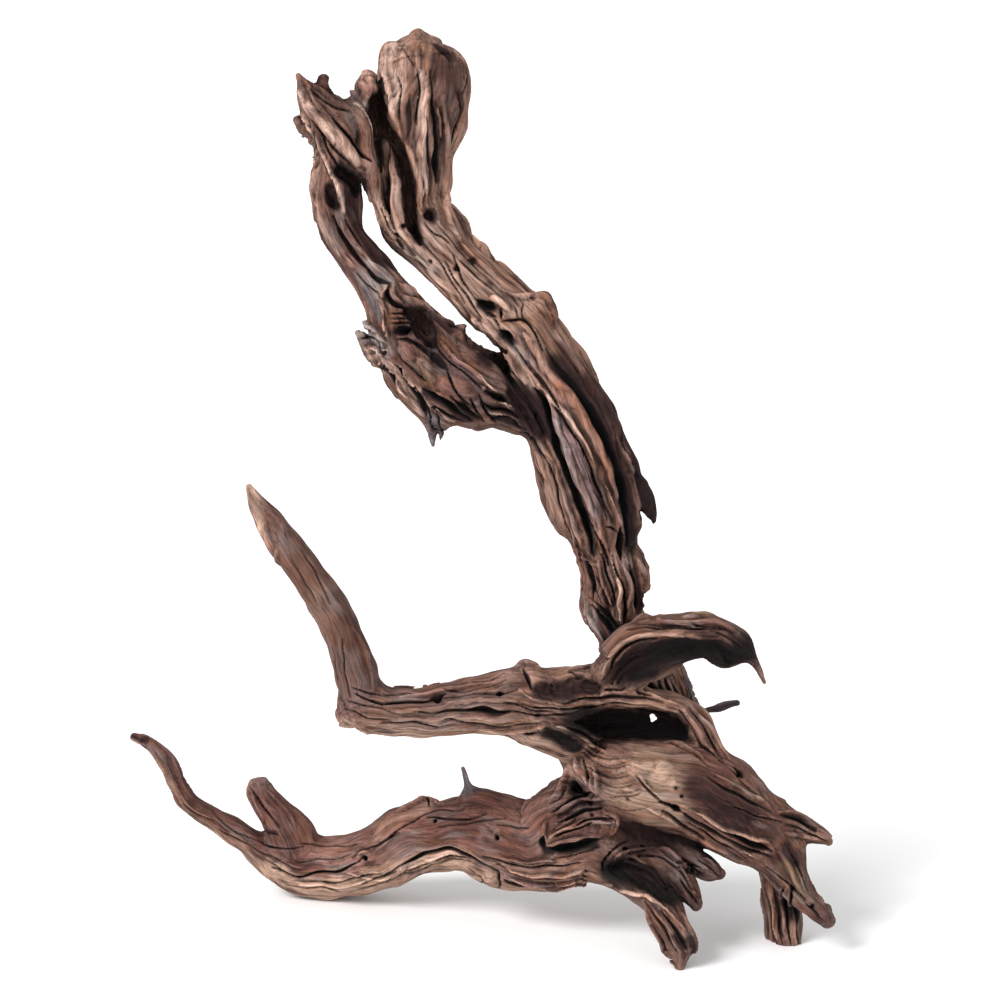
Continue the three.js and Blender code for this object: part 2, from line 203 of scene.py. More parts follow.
def flutes(tube, s, un, vn):
    """Long strands that run along a limb: how far the surface stands out, mm."""
    o = tube.opt
    amp = F(o.get("amp", 1.0))
    lam = o.get("lam", 8.0)
    seed = o.get("seed", 0) * 7.3
    r = np.sqrt(un * un + vn * vn) + F(1e-3)
    cx, cy = un / r, vn / r
    tw = s * F(o.get("twist", 0.004)) + F(0.5) * perlin(cx * F(0.6) + F(seed), cy * F(0.6), s / F(38))
    co, si = np.cos(tw), np.sin(tw)
    R = F(o.get("R", 15.0))
    x, y = (cx * co - cy * si) * R, (cx * si + cy * co) * R
    st = F(o.get("stretch", 8.0) * 1.5)
    n1 = np.abs(perlin(x / F(lam) + F(seed), y / F(lam), s / F(lam * st)))
    l2 = F(o.get("lam2", 3.6))
    n2 = np.abs(perlin(x / l2 + F(seed + 5), y / l2, s / (l2 * st)))
    l3 = F(1.9)
    n3 = np.abs(perlin(x / l3 + F(seed + 8), y / l3, s / (l3 * F(18))))
    front = np.clip((vn + F(0.3)) / F(0.6), 0, 1)
    part = F(0.6) + F(0.4) * front * front * (3 - 2 * front)
    swell = perlin(cx * F(0.9) + F(seed + 9), cy * F(0.9), s / F(24)) * F(o.get("swell", 1.0))
    half = F(0.5) + F(0.5) * part
    out = amp * ((n1 * 2.6 - 0.7) * part + F(0.62) * half * (np.sqrt(n2 + F(0.004)) * 1.9 - 1.0)
                 + F(0.28) * (np.sqrt(n3 + F(0.006)) * 1.9 - 1.0)) + swell * part
    edge = np.clip(np.minimum(s, F(tube.len) - s) / F(9) + F(0.15), 0, 1)
    return (out * edge).astype(F)


LATE = []      # strands inside the hollows
LIMBS, ADD, CUT, SLIT = [], [], [], []     # base limbs, ridges and points, hollows, grooves


def limb(name, st, **opt):
    st = np.asarray(st, float)
    p, sc = place(st[:, :3])
    t = Tube(name, p, st[:, 3] * sc, st[:, 4], **opt)
    LIMBS.append(t)
    return t


def smin(a, b, k):
    h = np.maximum(k - np.abs(a - b), 0) / k
    return np.minimum(a, b) - h * h * k * F(0.25)


def smax(a, b, k):
    h = np.maximum(k - np.abs(a - b), 0) / k
    return np.maximum(a, b) + h * h * k * F(0.25)


class Boxes:
    """Which tubes come near a clump of points."""

    def __init__(self, tubes):
        self.t = tubes
        self.lo = np.array([t.lo for t in tubes]) if tubes else np.zeros((0, 3))
        self.hi = np.array([t.hi for t in tubes]) if tubes else np.zeros((0, 3))

    def near(self, P, lo, hi):
        if not self.t:
            return
        for i in np.nonzero(((self.lo < hi) & (self.hi > lo)).all(1))[0]:
            t = self.t[i]
            l, h = t.lo.astype(F), t.hi.astype(F)
            m = (P[:, 0] > l[0]) & (P[:, 0] < h[0]) & (P[:, 1] > l[1]) & (P[:, 1] < h[1]) & (P[:, 2] > l[2]) & (P[:, 2] < h[2])
            idx = np.nonzero(m)[0]
            if len(idx):
                yield t, idx


BOX = {}


def boxes(name, tubes):
    b = BOX.get(name)
    if b is None or len(b.t) != len(tubes):
        b = BOX[name] = Boxes(list(tubes))
    return b


def warp(P):
    """A gentle wander of everything, so that no edge is a clean curve."""
    x, y, z = P[:, 0], P[:, 1], P[:, 2]
    s_ = np.sin
    wx = F(0.34) * s_(F(0.33) * y + F(0.21) * z + 1) + F(0.2) * s_(F(0.47) * z - F(0.26) * y + 4)
    wy = F(0.34) * s_(F(0.29) * z + F(0.25) * x + 2) + F(0.2) * s_(F(0.43) * x - F(0.31) * z + 5)
    wz = F(0.34) * s_(F(0.35) * x + F(0.19) * y + 3) + F(0.2) * s_(F(0.51) * y - F(0.24) * x + 6)
    return np.stack([x + wx, y + wy, z + wz], 1).astype(F)


def field(P, level=2, want=False, only=None):
    """Distance to the wood. level 0: bare limbs, 1: with ridges and hollows, 2: with strands and grooves too."""
    P0 = P.astype(F)
    P = warp(P0) if level else P0
    lo, hi = P.min(0), P.max(0)
    n = len(P)
    d = np.full(n, FAR, F)
    if want:
        bare = np.full(n, FAR, F)
        label = np.zeros(n, np.int16)
        pos = np.zeros((n, 3), F)
    best = np.full(n, FAR, F)
    if level == 2:
        fsum = np.zeros(n, F)
        wsum = np.full(n, 1e-12, F)
    for t, idx in boxes("limbs", LIMBS).near(P, lo, hi):
        if only is not None and t.name not in only:
            continue
        dd, s, u, v, un, vn = t.dist(P[idx], True)
        k = F(t.opt.get("k", 5.0))
        if level == 2 and t.opt.get("amp", 1.0) > 0:
            c = np.nonzero(np.abs(dd) < 11)[0]
            if len(c):
                w = np.exp(-np.clip(dd[c] + 4, 0, 20) * F(0.9)).astype(F)
                fsum[idx[c]] += w * flutes(t, s[c], un[c], vn[c])
                wsum[idx[c]] += w
        if want:
            b = best[idx]
            closer = dd < b
            best[idx] = np.where(closer, dd, b)
            c = idx[closer]
            label[c] = LIMBS.index(t)
            pos[c] = np.stack([u, v, s], 1)[closer]
        d[idx] = smin(d[idx], dd, k)
    if want:
        bare = d.copy()
    if level >= 1:
        for t, idx in boxes("add", ADD).near(P, lo, hi):
            d[idx] = smin(d[idx], t.dist(P[idx]), F(t.opt.get("k", 1.2)))
        fl = 0
        if level == 2:
            fl = fsum / wsum
            d = d - fl
        for t, idx in boxes("cut", CUT).near(P, lo, hi):
            dd = t.dist(P[idx])
            if level == 2 and t.name != "chink":
                dd = dd + F(0.55) * fl[idx]
                near = np.nonzero(np.abs(dd) < 4)[0]
                if len(near):
                    q = P[idx[near]]
                    rag = perlin(q[:, 0] / F(3.1), q[:, 1] / F(3.1), q[:, 2] / F(4.2)) * F(0.9)
                    dd[near] += rag * F(min(1.0, t.r.max() / 3.0))
            d[idx] = smax(d[idx], -dd, F(t.opt.get("k", 1.2)))
        for t, idx in boxes("late", LATE).near(P, lo, hi):
            d[idx] = smin(d[idx], t.dist(P[idx]), F(t.opt.get("k", 1.0)))
        if level == 2:
            deep = np.zeros(n, F)
            for t, idx in boxes("slit", SLIT).near(P, lo, hi):
                f, u, v, z, a, b = t.local(P[idx])
                q = np.clip(np.abs(u) / a / F(1.5), 0, 1)
                g = b * (1 - q * q * (3 - 2 * q))
                q = np.clip((np.abs(v) - b - F(2.5)) / F(2.5), 0, 1)
                g = g * (1 - q)
                q = np.clip((np.abs(z) - F(0.5)) / F(0.8), 0, 1)
                g = g * (1 - q)
                deep[idx] = np.maximum(deep[idx], g)
            d = d + deep
    d = np.maximum(d, -P0[:, 2])
    if want:
        return d, bare, label, pos
    return d


# ------------------------------------------------------------------ the limbs (same stations as the CAD part)
trunk = limb("trunk", [
    [418, 45, 36, 24, 11], [418.5, 51, 36, 31, 15], [419.5, 59, 34, 38, 18], [421, 69, 33, 42, 20],
    [422, 82, 32, 43, 20], [419, 102, 30, 48, 20], [415, 125, 27, 49, 19], [412, 150, 24, 43, 18],
    [413, 175, 21, 39, 17], [412, 200, 19, 37, 17], [417, 218, 17, 38, 17], [430, 237, 16, 35, 16],
    [447, 257, 15, 29, 15], [458, 269, 14, 28, 15], [480, 291, 13, 31, 15], [506, 316, 12, 32, 16],
    [529, 341, 12, 34, 17], [547, 372, 12, 36, 17], [561, 400, 12, 41, 19], [574, 433, 12, 45, 20],
    [586, 470, 13, 49, 21], [597, 503, 14, 51, 20], [604, 527, 14, 43, 18], [606, 550, 15, 31, 16],
    [615, 578, 15, 34, 16], [613, 600, 16, 30, 15], [617, 620, 16, 29, 15], [637, 652, 20, 27, 14],
    [664, 682, 23, 26, 13], [676, 706, 23, 20, 11], [682, 732, 22, 20, 9], [694, 762, 12, 18, 10]],
    amp=1.3, lam=8.0, stretch=11, crack=1.0, seed=1, swell=1.4, cap=0.5)
left = limb("left", [
    [299, 75, -6, 3, 2.5], [303, 85, -4, 7, 4], [312, 99, 0, 16, 8], [323, 112, 5, 25, 11],
    [334, 125, 9, 32, 13], [340, 140, 12, 29, 13], [343, 165, 13, 28, 13], [338, 187, 12, 26, 12],
    [338, 211, 10, 23, 12], [344, 235, 9, 20, 12], [359, 256, 8, 20, 12], [373, 274, 7, 20, 12],
    [386, 292, 6, 25, 13], [395, 309, 5, 29, 15], [408, 333, 3, 37, 18], [425, 359, 2, 45, 20],
    [450, 381, 3, 49, 21], [478, 395, 5, 40, 19], [503, 405, 8, 25, 16], [530, 420, 12, 18, 13]],
    amp=1.2, lam=6.5, stretch=9, crack=1.0, seed=2, swell=1.3, R=13)
ball = limb("ball", [
    [582, 766, 4, 20, 15], [598, 770, 2, 32, 20], [620, 777, 0, 41, 23], [645, 785, -3, 46, 25],
    [683, 788, -4, 47, 25], [714, 799, -5, 48, 23], [742, 820, -7, 42, 19], [764, 836, -9, 36, 16],
    [780, 852, -11, 26, 13]], amp=0.6, lam=8, stretch=10, crack=0.6, seed=3, k=6)
limb("ballback", [[594, 786, 5, 20, 12], [582, 758, 8, 22, 12], [588, 738, 11, 26, 9], [612, 724, 13, 27, 7], [638, 727, 14, 23, 6],
     [650, 728, 14, 21, 6], [668, 732, 14, 20, 6], [690, 741, 12, 15, 7]],
     amp=0.6, lam=7, seed=4)
limb("ballunder", [[640, 820, 0, 22, 12], [668, 832, -1, 16, 9], [682, 842, -2, 10, 6]], amp=0.6, lam=6, seed=4, k=4)
lid = limb("lid", [
    [560, 694, 2, 26, 16], [572, 692, 1, 25, 15], [590, 691, 0, 23, 13], [620, 697, -1, 13, 9],
    [650, 699, -1, 11, 8], [680, 707, 0, 12, 8], [697, 722, 0, 14, 9], [706, 740, 0, 14, 9],
    [714, 757, 0, 12, 8]], amp=0.42, lam=5, stretch=14, crack=0.5, seed=5, swell=0.4, R=8)
mid = limb("mid", [
    [343, 716, -15, 9, 7], [352, 711, -15, 20, 12], [368, 708, -14, 27, 15], [392, 712, -12, 24, 15],
    [430, 712, -8, 25, 16], [460, 707, -5, 28, 17], [496, 703, -2, 32, 18], [524, 703, 1, 39, 20],
    [548, 711, 3, 41, 20], [572, 717, 2, 44, 19]], amp=0.6, lam=6.5, stretch=14, crack=0.8, seed=6, swell=0.6)
horn = limb("horn", [
    [249, 488, -44, 3.6, 2.5], [254, 498, -43, 7, 4.5], [264, 513, -41, 12, 6], [284, 543, -36, 17, 8.5],
    [302, 567, -32, 17, 9], [320, 592, -27, 18, 9.5], [337, 620, -23, 19, 10], [348, 648, -19, 20, 11],
    [356, 673, -16, 22, 12], [360, 697, -14, 19, 11]], amp=0.16, lam=5, stretch=14, crack=0.15, seed=7, swell=0.4, R=9)
low = limb("low", [
    [624, 838, -2, 32, 17], [602, 830, -1, 42, 21], [572, 831, 4, 54, 24], [540, 845, 11, 46, 23],
    [505, 843, 19, 46, 22], [469, 834, 27, 37, 20], [440, 836, 33, 36, 19], [411, 840, 39, 37, 19],
    [382, 856, 46, 34, 18], [347, 866, 52, 31, 16], [314, 867, 56, 31.5, 15], [285, 862, 56, 25, 13],
    [262, 850, 55, 17, 10], [247, 840, 54, 13, 8], [230, 829, 53, 12, 7], [215, 820, 51, 11, 6],
    [200, 811, 49, 9, 5], [186, 800, 47, 10, 5], [176, 781, 44, 8.5, 4.5], [168, 763, 42, 8.5, 4.5],
    [156, 749, 40, 7.5, 4], [145, 741, 38, 5.5, 3], [133, 736, 37, 4, 2.5]],
    amp=0.6, lam=7, stretch=14, crack=0.7, seed=8, swell=0.7)
stub = limb("stub", [
    [258, 781, 50, 9, 5], [259, 789, 50, 13, 7], [265, 800, 51, 15, 8], [276, 813, 52, 18, 9],
    [288, 830, 53, 24, 10], [296, 848, 54, 25, 10]], amp=0.35, lam=5, stretch=12, crack=0.4, seed=9, R=8, swell=0.4, cap=0.4)
limb("twig", [[462, 769, 27, 2, 1], [465, 778, 27, 2.5, 1.3], [469, 787, 27, 3.4, 1.8], [476, 800, 27, 7, 3.5]], amp=0.1, k=3)
limb("claw", [
    [596, 694, -3, 9, 8], [602, 676, -6, 12, 10], [612, 657, -10, 15, 12], [632, 641, -14, 18, 13], [660, 630, -20, 15, 13],
    [690, 627, -25, 15, 13], [716, 630, -29, 14.5, 11], [736, 641, -32, 13, 9], [748, 653, -33, 8.5, 7], [756, 666, -34, 4, 4],
    [764, 682, -34, 1.9, 1.5]], amp=0.5, lam=5, lam2=2.8, stretch=14, seed=10, swell=0.4, k=3)
limb("clawback", [
    [612, 676, -4, 10, 6], [626, 662, -8, 21, 7], [650, 657, -14, 25, 7], [680, 644, -20, 18, 7], [706, 644, -25, 15, 7],
    [724, 651, -28, 16.5, 6], [742, 652, -30, 12, 5]], amp=0.35, lam=5, lam2=3, stretch=12, seed=17, swell=0.5, k=3)
limb("prong", [[766, 822, -9, 25, 13], [783, 823, -9, 17, 11], [801, 827, -8, 13.5, 8], [814, 833, -8, 10, 5],
    [824, 838, -8, 8, 3.6], [829, 842, -8, 5, 2.4]], amp=0.6, lam=5, seed=11, R=8, swell=0.5)
limb("toe", [[771, 846, -12, 27, 12], [784, 866, -17, 22, 11], [798, 888, -22, 15, 10], [811, 904, -27, 12, 8],
    [821, 914, -30, 11, 7.5], [827, 921, -32, 8, 6]], amp=0.7, lam=5, seed=12, R=8, swell=0.5)
limb("foot", [[760, 826, -4, 18, 12], [771, 848, -1, 19, 12], [777, 868, 0, 18, 11], [780, 887, -1, 17, 11],
    [784, 912, -5, 17, 11], [786, 938, -9, 16, 10], [788, 966, -13, 15, 10]], amp=0.8, lam=5, seed=13, R=9, swell=0.4, k=3)
limb("leg", [[600, 860, -6, 23, 14], [622, 870, -14, 22, 13], [648, 888, -26, 20, 12], [664, 909, -36, 18, 11],
    [672, 927, -41, 17, 10], [680, 943, -45, 16, 9], [681, 956, -47, 9, 6], [680, 970, -49, 4, 3]],
    amp=0.8, lam=5, seed=14, R=9, swell=0.5)
limb("ftoe", [[640, 846, -4, 14, 10], [662, 860, -15, 14, 9], [680, 878, -26, 14, 8], [690, 893, -31, 12, 6],
    [696, 905, -33, 6, 4]], amp=0.6, lam=4, seed=15, R=7, swell=0.5, k=3)
limb("fprong", [[656, 834, 0, 20, 10], [684, 854, -9, 16, 9], [702, 866, -15, 12.5, 8], [714, 871, -18, 10, 6],
    [720, 874, -19, 6, 3]], amp=0.6, lam=4, seed=16, R=7, swell=0.5, k=3)
limb("btwig", [[684, 714, 22, 3, 1.6], [700, 712, 31, 2, 1.1], [712, 709, 34, 2.6, 1.4], [722, 706, 36, 4.1, 2.2],
    [737, 703, 38, 3.3, 1.8]], amp=0.1, k=2)


def point(st, k=2.0, **opt):
    """A broken point or lump that stands out of a limb."""
    st = np.asarray(st, float)
    p, sc = place(st[:, :3])
    ADD.append(Tube("point", p, st[:, 3] * sc, st[:, 4], step=2.0, k=k, reach=4.0, **opt))


def inner(st, k=1.0):
    """A strand that runs inside a hollow."""
    st = np.asarray(st, float)
    p, sc = place(st[:, :3])
    LATE.append(Tube("inner", p, st[:, 3] * sc, st[:, 4], step=2.0, k=k, reach=4.0))


def hollow(st, k=1.5, **opt):
    st = np.asarray(st, float)
    p, sc = place(st[:, :3])
    CUT.append(Tube("hollow", p, st[:, 3] * sc, st[:, 4], step=2.0, k=k, reach=4.0, **opt))


# broken points and small limbs
point([[418, 384, 2, 18, 9], [426, 408, 1, 12, 6], [431, 428, 1, 7, 3.5], [434, 445, 1, 2.6, 1.6]])
point([[452, 392, 2, 18, 8], [451, 412, 2, 12, 6], [447, 432, 2, 3, 2]])
point([[386, 318, 5, 14, 7], [372, 324, 5, 8, 4], [363, 322, 5, 2.5, 1.6]])
point([[398, 352, 3, 16, 8], [376, 350, 3, 11, 5], [359, 333, 3, 3, 2]])
point([[324, 100, 3, 12, 6], [323, 88, 1, 8, 4], [323, 78, 0, 5, 2.6]])
point([[316, 130, 6, 10, 5], [303, 128, 3, 7, 3.6], [297, 120, 1, 4.5, 2.2]])
point([[350, 124, 13, 16, 8], [360, 107, 17, 15, 8], [367, 95, 20, 11, 7], [368, 86, 21, 8, 4.6]])
point([[634, 492, 12, 18, 9], [646, 508, 12, 10, 5], [653, 522, 12, 2.6, 1.6]])
point([[530, 318, 10, 20, 9], [539, 308, 10, 16, 8], [542, 301, 10, 11, 7]], k=4)
point([[550, 310, 11, 6, 6], [552, 316, 11, 6, 6]], k=3)
point([[748, 786, -6, 14, 7], [762, 793, -7, 7, 4], [774, 799, -8, 4, 2.6], [784, 802, -8, 1.6, 1.2]], k=1)
point([[812, 832, -8, 6, 4], [822, 833, -8, 4, 2.6], [831, 836, -8, 1.6, 1.2]], k=0.8)

point([[474, 352, 10, 9, 6], [490, 362, 12, 12, 8], [508, 374, 13, 15, 9], [523, 390, 14, 14, 9], [536, 406, 15, 12, 9]], k=3)
point([[438, 400, 1, 12, 6], [439, 420, 1, 8, 4], [441, 432, 1, 4, 2.5], [441, 439, 1, 1.5, 1.2]], k=1)
point([[444, 405, 1, 9, 5], [446, 420, 1, 5, 3], [445, 430, 1, 2.5, 1.6], [444, 434, 1, 1, 0.8]], k=1)
point([[452, 410, 2, 6, 3], [455, 420, 2, 2.6, 2], [457, 427, 2, 0.9, 0.8]], k=1)
point([[634, 860, -8, 12, 7], [652, 868, -14, 14, 7], [668, 880, -22, 12, 6]], k=4)
point([[606, 684, -4, 8, 6], [618, 682, -6, 11, 6], [630, 681, -8, 10, 6], [640, 676, -10, 6, 5]], k=3)
point([[468, 800, 27, 10, 8], [482, 800, 26, 12, 9], [500, 806, 22, 12, 9], [520, 812, 18, 10, 8]], k=4)
hollow([[520, 792, 12, 5, 44], [529, 791, 12, 8, 44], [545, 779, 12, 8.5, 44], [556, 766, 12, 8, 44]], k=1.2, shade=0.3)
point([[612, 848, -6, 9, 7], [630, 848, -9, 11, 7], [648, 852, -12, 11, 7], [662, 860, -15, 9, 6]], k=3)
point([[622, 862, -8, 14, 9], [640, 866, -11, 17, 9], [656, 876, -17, 15, 8], [668, 888, -23, 12, 7]], k=3)
# gap between the burl and the trunk, and the notch in the wing's top edge
hollow([[571, 620, 4, 6, 44], [577, 627, 4, 8, 44], [584, 635, 4, 9, 44], [590, 643, 4, 9.5, 44], [594, 650, 4, 8, 44],
        [593, 654, 4, 5, 44]], k=1, shade=0.2)
hollow([[468, 331, 8, 4, 34], [480, 339, 8, 7, 34], [491, 346, 8, 6, 34], [502, 352, 8, 2, 34]], k=1, shade=0.3)
hollow([[330, 80, 4, 4, 30], [339, 88, 6, 8.5, 30], [347, 97, 8, 5.5, 22]], k=1, shade=0.2)
inner([[503, 378, 1, 2, 1.6], [512, 388, 1, 3, 2], [522, 402, 1, 3.4, 2.2], [532, 418, 0, 3, 2], [541, 434, -1, 2, 1.5]])
inner([[512, 374, 1, 2, 1.6], [522, 386, 1, 2.6, 2], [533, 402, 1, 3, 2], [542, 418, 0, 2.4, 2], [549, 436, -1, 1.6, 1.4]])
inner([[500, 388, -1, 1.6, 1.4], [512, 402, -1, 2.4, 1.8], [524, 420, -2, 2.4, 1.8], [533, 436, -3, 1.6, 1.4]])
inner([[626, 862, -22, 1.6, 1.4], [642, 866, -24, 2.4, 1.8], [656, 876, -27, 2.4, 1.8], [666, 888, -33, 1.6, 1.4]])
inner([[616, 872, -18, 1.6, 1.4], [632, 875, -20, 2.6, 1.8], [648, 884, -26, 2.4, 1.8], [660, 897, -33, 1.6, 1.4]])
# hollows
hollow([[612, 870, -24, 5, 6], [634, 870, -28, 12, 9], [656, 882, -38, 14, 10], [672, 896, -46, 8, 8]])


def on_wood(xy, only=None):
    """Where the sight lines through grid points meet the bare limbs, with the surface normal there."""
    xy = np.asarray(xy, float)
    d = ray(xy)
    t = np.full(len(xy), 1230.0)
    best_t, best_d = t.copy(), np.full(len(xy), 1e9)
    for _ in range(70):
        P = EYE_S + d * t[:, None]
        f = field(P, 0, only=only).astype(float)
        f = np.where(f > 30, 12.0, f)
        better = np.abs(f) < best_d
        best_t = np.where(better, t, best_t)
        best_d = np.where(better, np.abs(f), best_d)
        t = t + np.where(np.abs(f) < 0.02, 0, f * 0.8)
        if (t > 1620).all():
            break
    P = EYE_S + d * best_t[:, None]
    e = 1.0
    g = np.stack([field(P + np.eye(3)[k] * e, 0, only=only) - field(P - np.eye(3)[k] * e, 0, only=only) for k in range(3)], 1).astype(float)
    nrm = unit(g)
    return P, nrm, best_d


LINES = []


def trace(kind, width, height, xy, on=None, k=None, taper=0.35, lift=0.0):
    """A ridge or a groove that follows grid points over the front of the wood.
    width: half width in grid units, height: how far it stands out or goes in, mm."""
    xy = np.asarray(xy, float)
    if len(xy) == 1:
        xy = np.vstack([xy, xy + [[0.6, 0.6]]])
    if len(xy) > 2:
        xy = catmull(xy, 3)
    P, nrm, _ = on_wood(xy, on)
    # keep the line smooth in depth where a sight line grazes the wood
    if len(P) > 4:
        ker = np.array([0.25, 0.5, 0.25])
        for _ in range(2):
            for c in range(3):
                nrm[1:-1, c] = np.convolve(nrm[:, c], ker, "valid")
        nrm = unit(nrm)
    strand(kind, P, nrm, width, height, k, taper, lift, True)


def strand(kind, P, nrm, width, height, k=None, taper=0.35, lift=0.0, front=False):
    m = len(P)
    x = np.linspace(0, 1, m)
    end = np.minimum(1, np.minimum(x, 1 - x) / 0.25) if m > 2 else np.ones(m)
    tap = taper + (1 - taper) * end
    w = np.broadcast_to(np.asarray(width, float), (m,)) if np.ndim(width) == 0 else np.interp(x, np.linspace(0, 1, len(width)), width)
    h = np.broadcast_to(np.asarray(height, float), (m,)) if np.ndim(height) == 0 else np.interp(x, np.linspace(0, 1, len(height)), height)
    a = w * 0.5 * tap
    b = np.maximum(np.abs(h) * (1.3 if kind == "r" else 1.25), 0.3) * tap
    line = Tube("line", P, np.maximum(a * (0.8 if kind == "r" else 1.0), 0.75), np.maximum(a, 0.75), deep=nrm, step=1.6, reach=3.0, smooth=False)
    LINES.append((kind, line, min(1.0, float(np.mean(np.abs(h))) / 2.2), front))
    if kind == "r":
        # a ridge: sunk by its own half height so that its crest stands out by h
        body = np.maximum(b, a)
        C = P + nrm * (b - body + lift)[:, None]
        ADD.append(Tube("ridge", C, a, body, deep=nrm, step=1.6, reach=3.0, k=k or max(0.6, float(np.mean(a)) * 0.6), smooth=False))
    else:
        t = Tube("groove", P, np.maximum(a, 0.5), b, deep=nrm, step=1.6, reach=5.5, smooth=False)
        t.lo -= np.max(b)
        t.hi += np.max(b)
        SLIT.append(t)


def pit(x, y, r, depth, on=None, k=0.8):
    """A round hole, r in grid units, going in by depth mm."""
    P, nrm, _ = on_wood([[x, y]], on)
    n = nrm[0]
    ref = np.array([0.3, 0.2, 1.0]) if abs(n[2]) < 0.9 else np.array([1.0, 0.2, 0.1])
    C = np.stack([P[0] + n * 1.0, P[0] - n * depth])
    CUT.append(Tube("pit", C, [r * 0.5, r * 0.32], [r * 0.5, r * 0.32], deep=np.stack([ref, ref]), step=1.0, reach=3.0, k=k, smooth=False))


def knob(x, y, r, out, on=None, k=1.5):
    P, nrm, _ = on_wood([[x, y]], on)
    n = nrm[0]
    ref = np.array([0.3, 0.2, 1.0]) if abs(n[2]) < 0.9 else np.array([1.0, 0.2, 0.1])
    C = np.stack([P[0] - n * r * 0.5, P[0] + n * (out - r * 0.5)])
    ADD.append(Tube("knob", C, [r * 0.5, r * 0.5], [r * 0.5, r * 0.5], deep=np.stack([ref, ref]), step=1.0, reach=3.0, k=k, smooth=False))


def pts(text):
    return [[float(v) for v in p.split(",")] for p in text.split()]


WHERE = [None]


def on(*names):
    WHERE[0] = names or None


def R(w, h, text, **opt):
    trace("r", w, h, pts(text), on=WHERE[0], **opt)


def G(w, h, text, **opt):
    trace("g", w, h, pts(text), on=WHERE[0], **opt)


def pits(text):
    for x, y, r, depth in pts(text):
        pit(x, y, r, depth, on=WHERE[0])


def knobs(text):
    for x, y, r, out in pts(text):
        knob(x, y, r, out, on=WHERE[0])


STROKES = []


def paint(colour, w, strength, text, both=False):
    """A stroke of colour over the wood, w is its half width in grid units."""
    xy = np.asarray(pts(text), float)
    if len(xy) == 1:
        xy = np.vstack([xy, xy + [[1.0, 1.0]]])
    elif len(xy) > 2:
        xy = catmull(xy, 3)
    P, nrm, _ = on_wood(xy, WHERE[0])
    w = np.broadcast_to(np.asarray(float(w)), (len(P),)) if np.ndim(w) == 0 else np.interp(np.linspace(0, 1, len(P)), np.linspace(0, 1, len(w)), w)
    t = Tube("stroke", P, w * 0.5, w * 0.5, deep=nrm, step=2.0, reach=float(np.max(w)) * 0.7 + 3, smooth=False)
    STROKES.append((colour, strength, t, both))


# --- crown: the head and its column
point([[393, 57, 32, 9, 9], [388, 49, 32, 6, 7]], k=2)
point([[395, 53, 32, 11, 10], [392, 62, 31, 11, 12], [394, 76, 31, 11, 12], [398, 92, 30, 10, 12]], k=3)
point([[417, 46, 33, 12, 10], [417, 53, 29, 16, 11], [419, 64, 25, 17, 12], [422, 82, 22, 13, 11], [424, 104, 19, 9, 10], [425, 128, 16, 6, 8]], k=2.5)
point([[446, 62, 33, 11, 10], [453, 70, 33, 14, 13], [456, 85, 32, 14, 14], [454, 104, 30, 13, 14], [450, 124, 28, 11, 12]], k=5)
point([[357, 106, 8, 5, 5], [363, 120, 7, 6, 6], [366, 140, 6, 7, 7], [369, 160, 6, 8, 8], [374, 180, 6, 8, 8],
       [379, 200, 6, 7, 8], [384, 216, 7, 8, 9], [392, 234, 8, 8, 9]], k=2.5)
point([[366, 100, 24, 8, 8], [370, 130, 26, 12, 8], [373, 160, 24, 12, 9], [376, 182, 22, 8, 8]], k=3)
point([[368, 184, 4, 3, 3], [370, 193, 4, 2.8, 2.8], [371, 200, 4, 1.6, 1.6]], k=1)
point([[365, 98, 18, 9, 6], [367, 91, 18, 12, 6.5], [368, 84, 18, 12, 6.5], [369, 80, 18, 9, 5]], k=1.5)
point([[358, 108, 12, 6, 4], [353, 99, 11, 5, 3], [352, 94, 11, 3.6, 2.5]], k=1)
hollow([[376, 101, 19, 8, 9], [378, 116, 19, 9.5, 14], [379, 131, 18, 9, 11]], k=1)
hollow([[387, 129, 16, 6, 10], [396, 143, 12, 6, 10], [403, 160, 8, 7, 11], [408, 180, 7, 7.5, 11], [410, 200, 5, 7.5, 10],
        [412, 220, 4, 6, 9], [416, 236, 3, 4, 7], [419, 244, 2, 2, 4]], k=1)
on("trunk")
R(4.5, 2.0, "387,48 385,60 386,76 389,92 393,108 397,122 400,134")
R(5, 2.2, "423,70 425,98 424,118 421,138 421,160 424,180 428,198")
G([2, 3.4, 3.4, 2], 1.3, "409,96 409,110 409,124 407,138", k=1.6)
R(3.5, 2.0, "404,142 409,153 415,166 418,180 421,196 422,214")
G([0.8, 1.2, 1.4, 2, 4, 3], [1.2, 1.6, 1.8, 2.4, 4, 2], "430,70 431,88 432,105 435,122 436,138 436,155 437,170 438,182")
R(5, 2.2, "443,98 445,115 447,132 446,150 447,170 446,190 445,205 450,222 460,240")
G(1.4, 2.4, "455,93 457,105 458,113 456,126 453,140 450,152")
G(1.0, 1.4, "459,58 461,72 461,86 457,96")
G(2.0, 1.6, "434,46 440,50 446,56 449,60")
G(0.7, 0.9, "403,50 407,57 411,62 415,67")
G(0.8, 1.5, "398,78 400,90 399,104 400,118")
G(0.8, 1.4, "418,70 419,90 418,108 416,124")
R(2.4, 1.2, "430,48 428,58 428,68 427,80", k=1.2)
R(2.4, 1.4, "433,103 438,112 440,124 441,138 441,150")
R(1.6, 1.2, "435,182 436,190 436,198")
R(2.0, 1.3, "427,200 433,206 438,214 440,222")
G(0.9, 1.5, "426,118 427,135 427,150 430,165")
pits("431,215,6.5,5 382,57,3.4,3 455,152,2.5,2 404,226,2.4,2 372,205,1.5,1.5")
G(1.2, 1.6, "386,178 387,186 386,194")
R(5, 1.6, "392,158 393,175 394,195 395,212 401,232 411,248")
R(4, 1.3, "381,196 383,215 390,232 399,246 412,257 425,265 436,276 448,290 456,304 466,317")
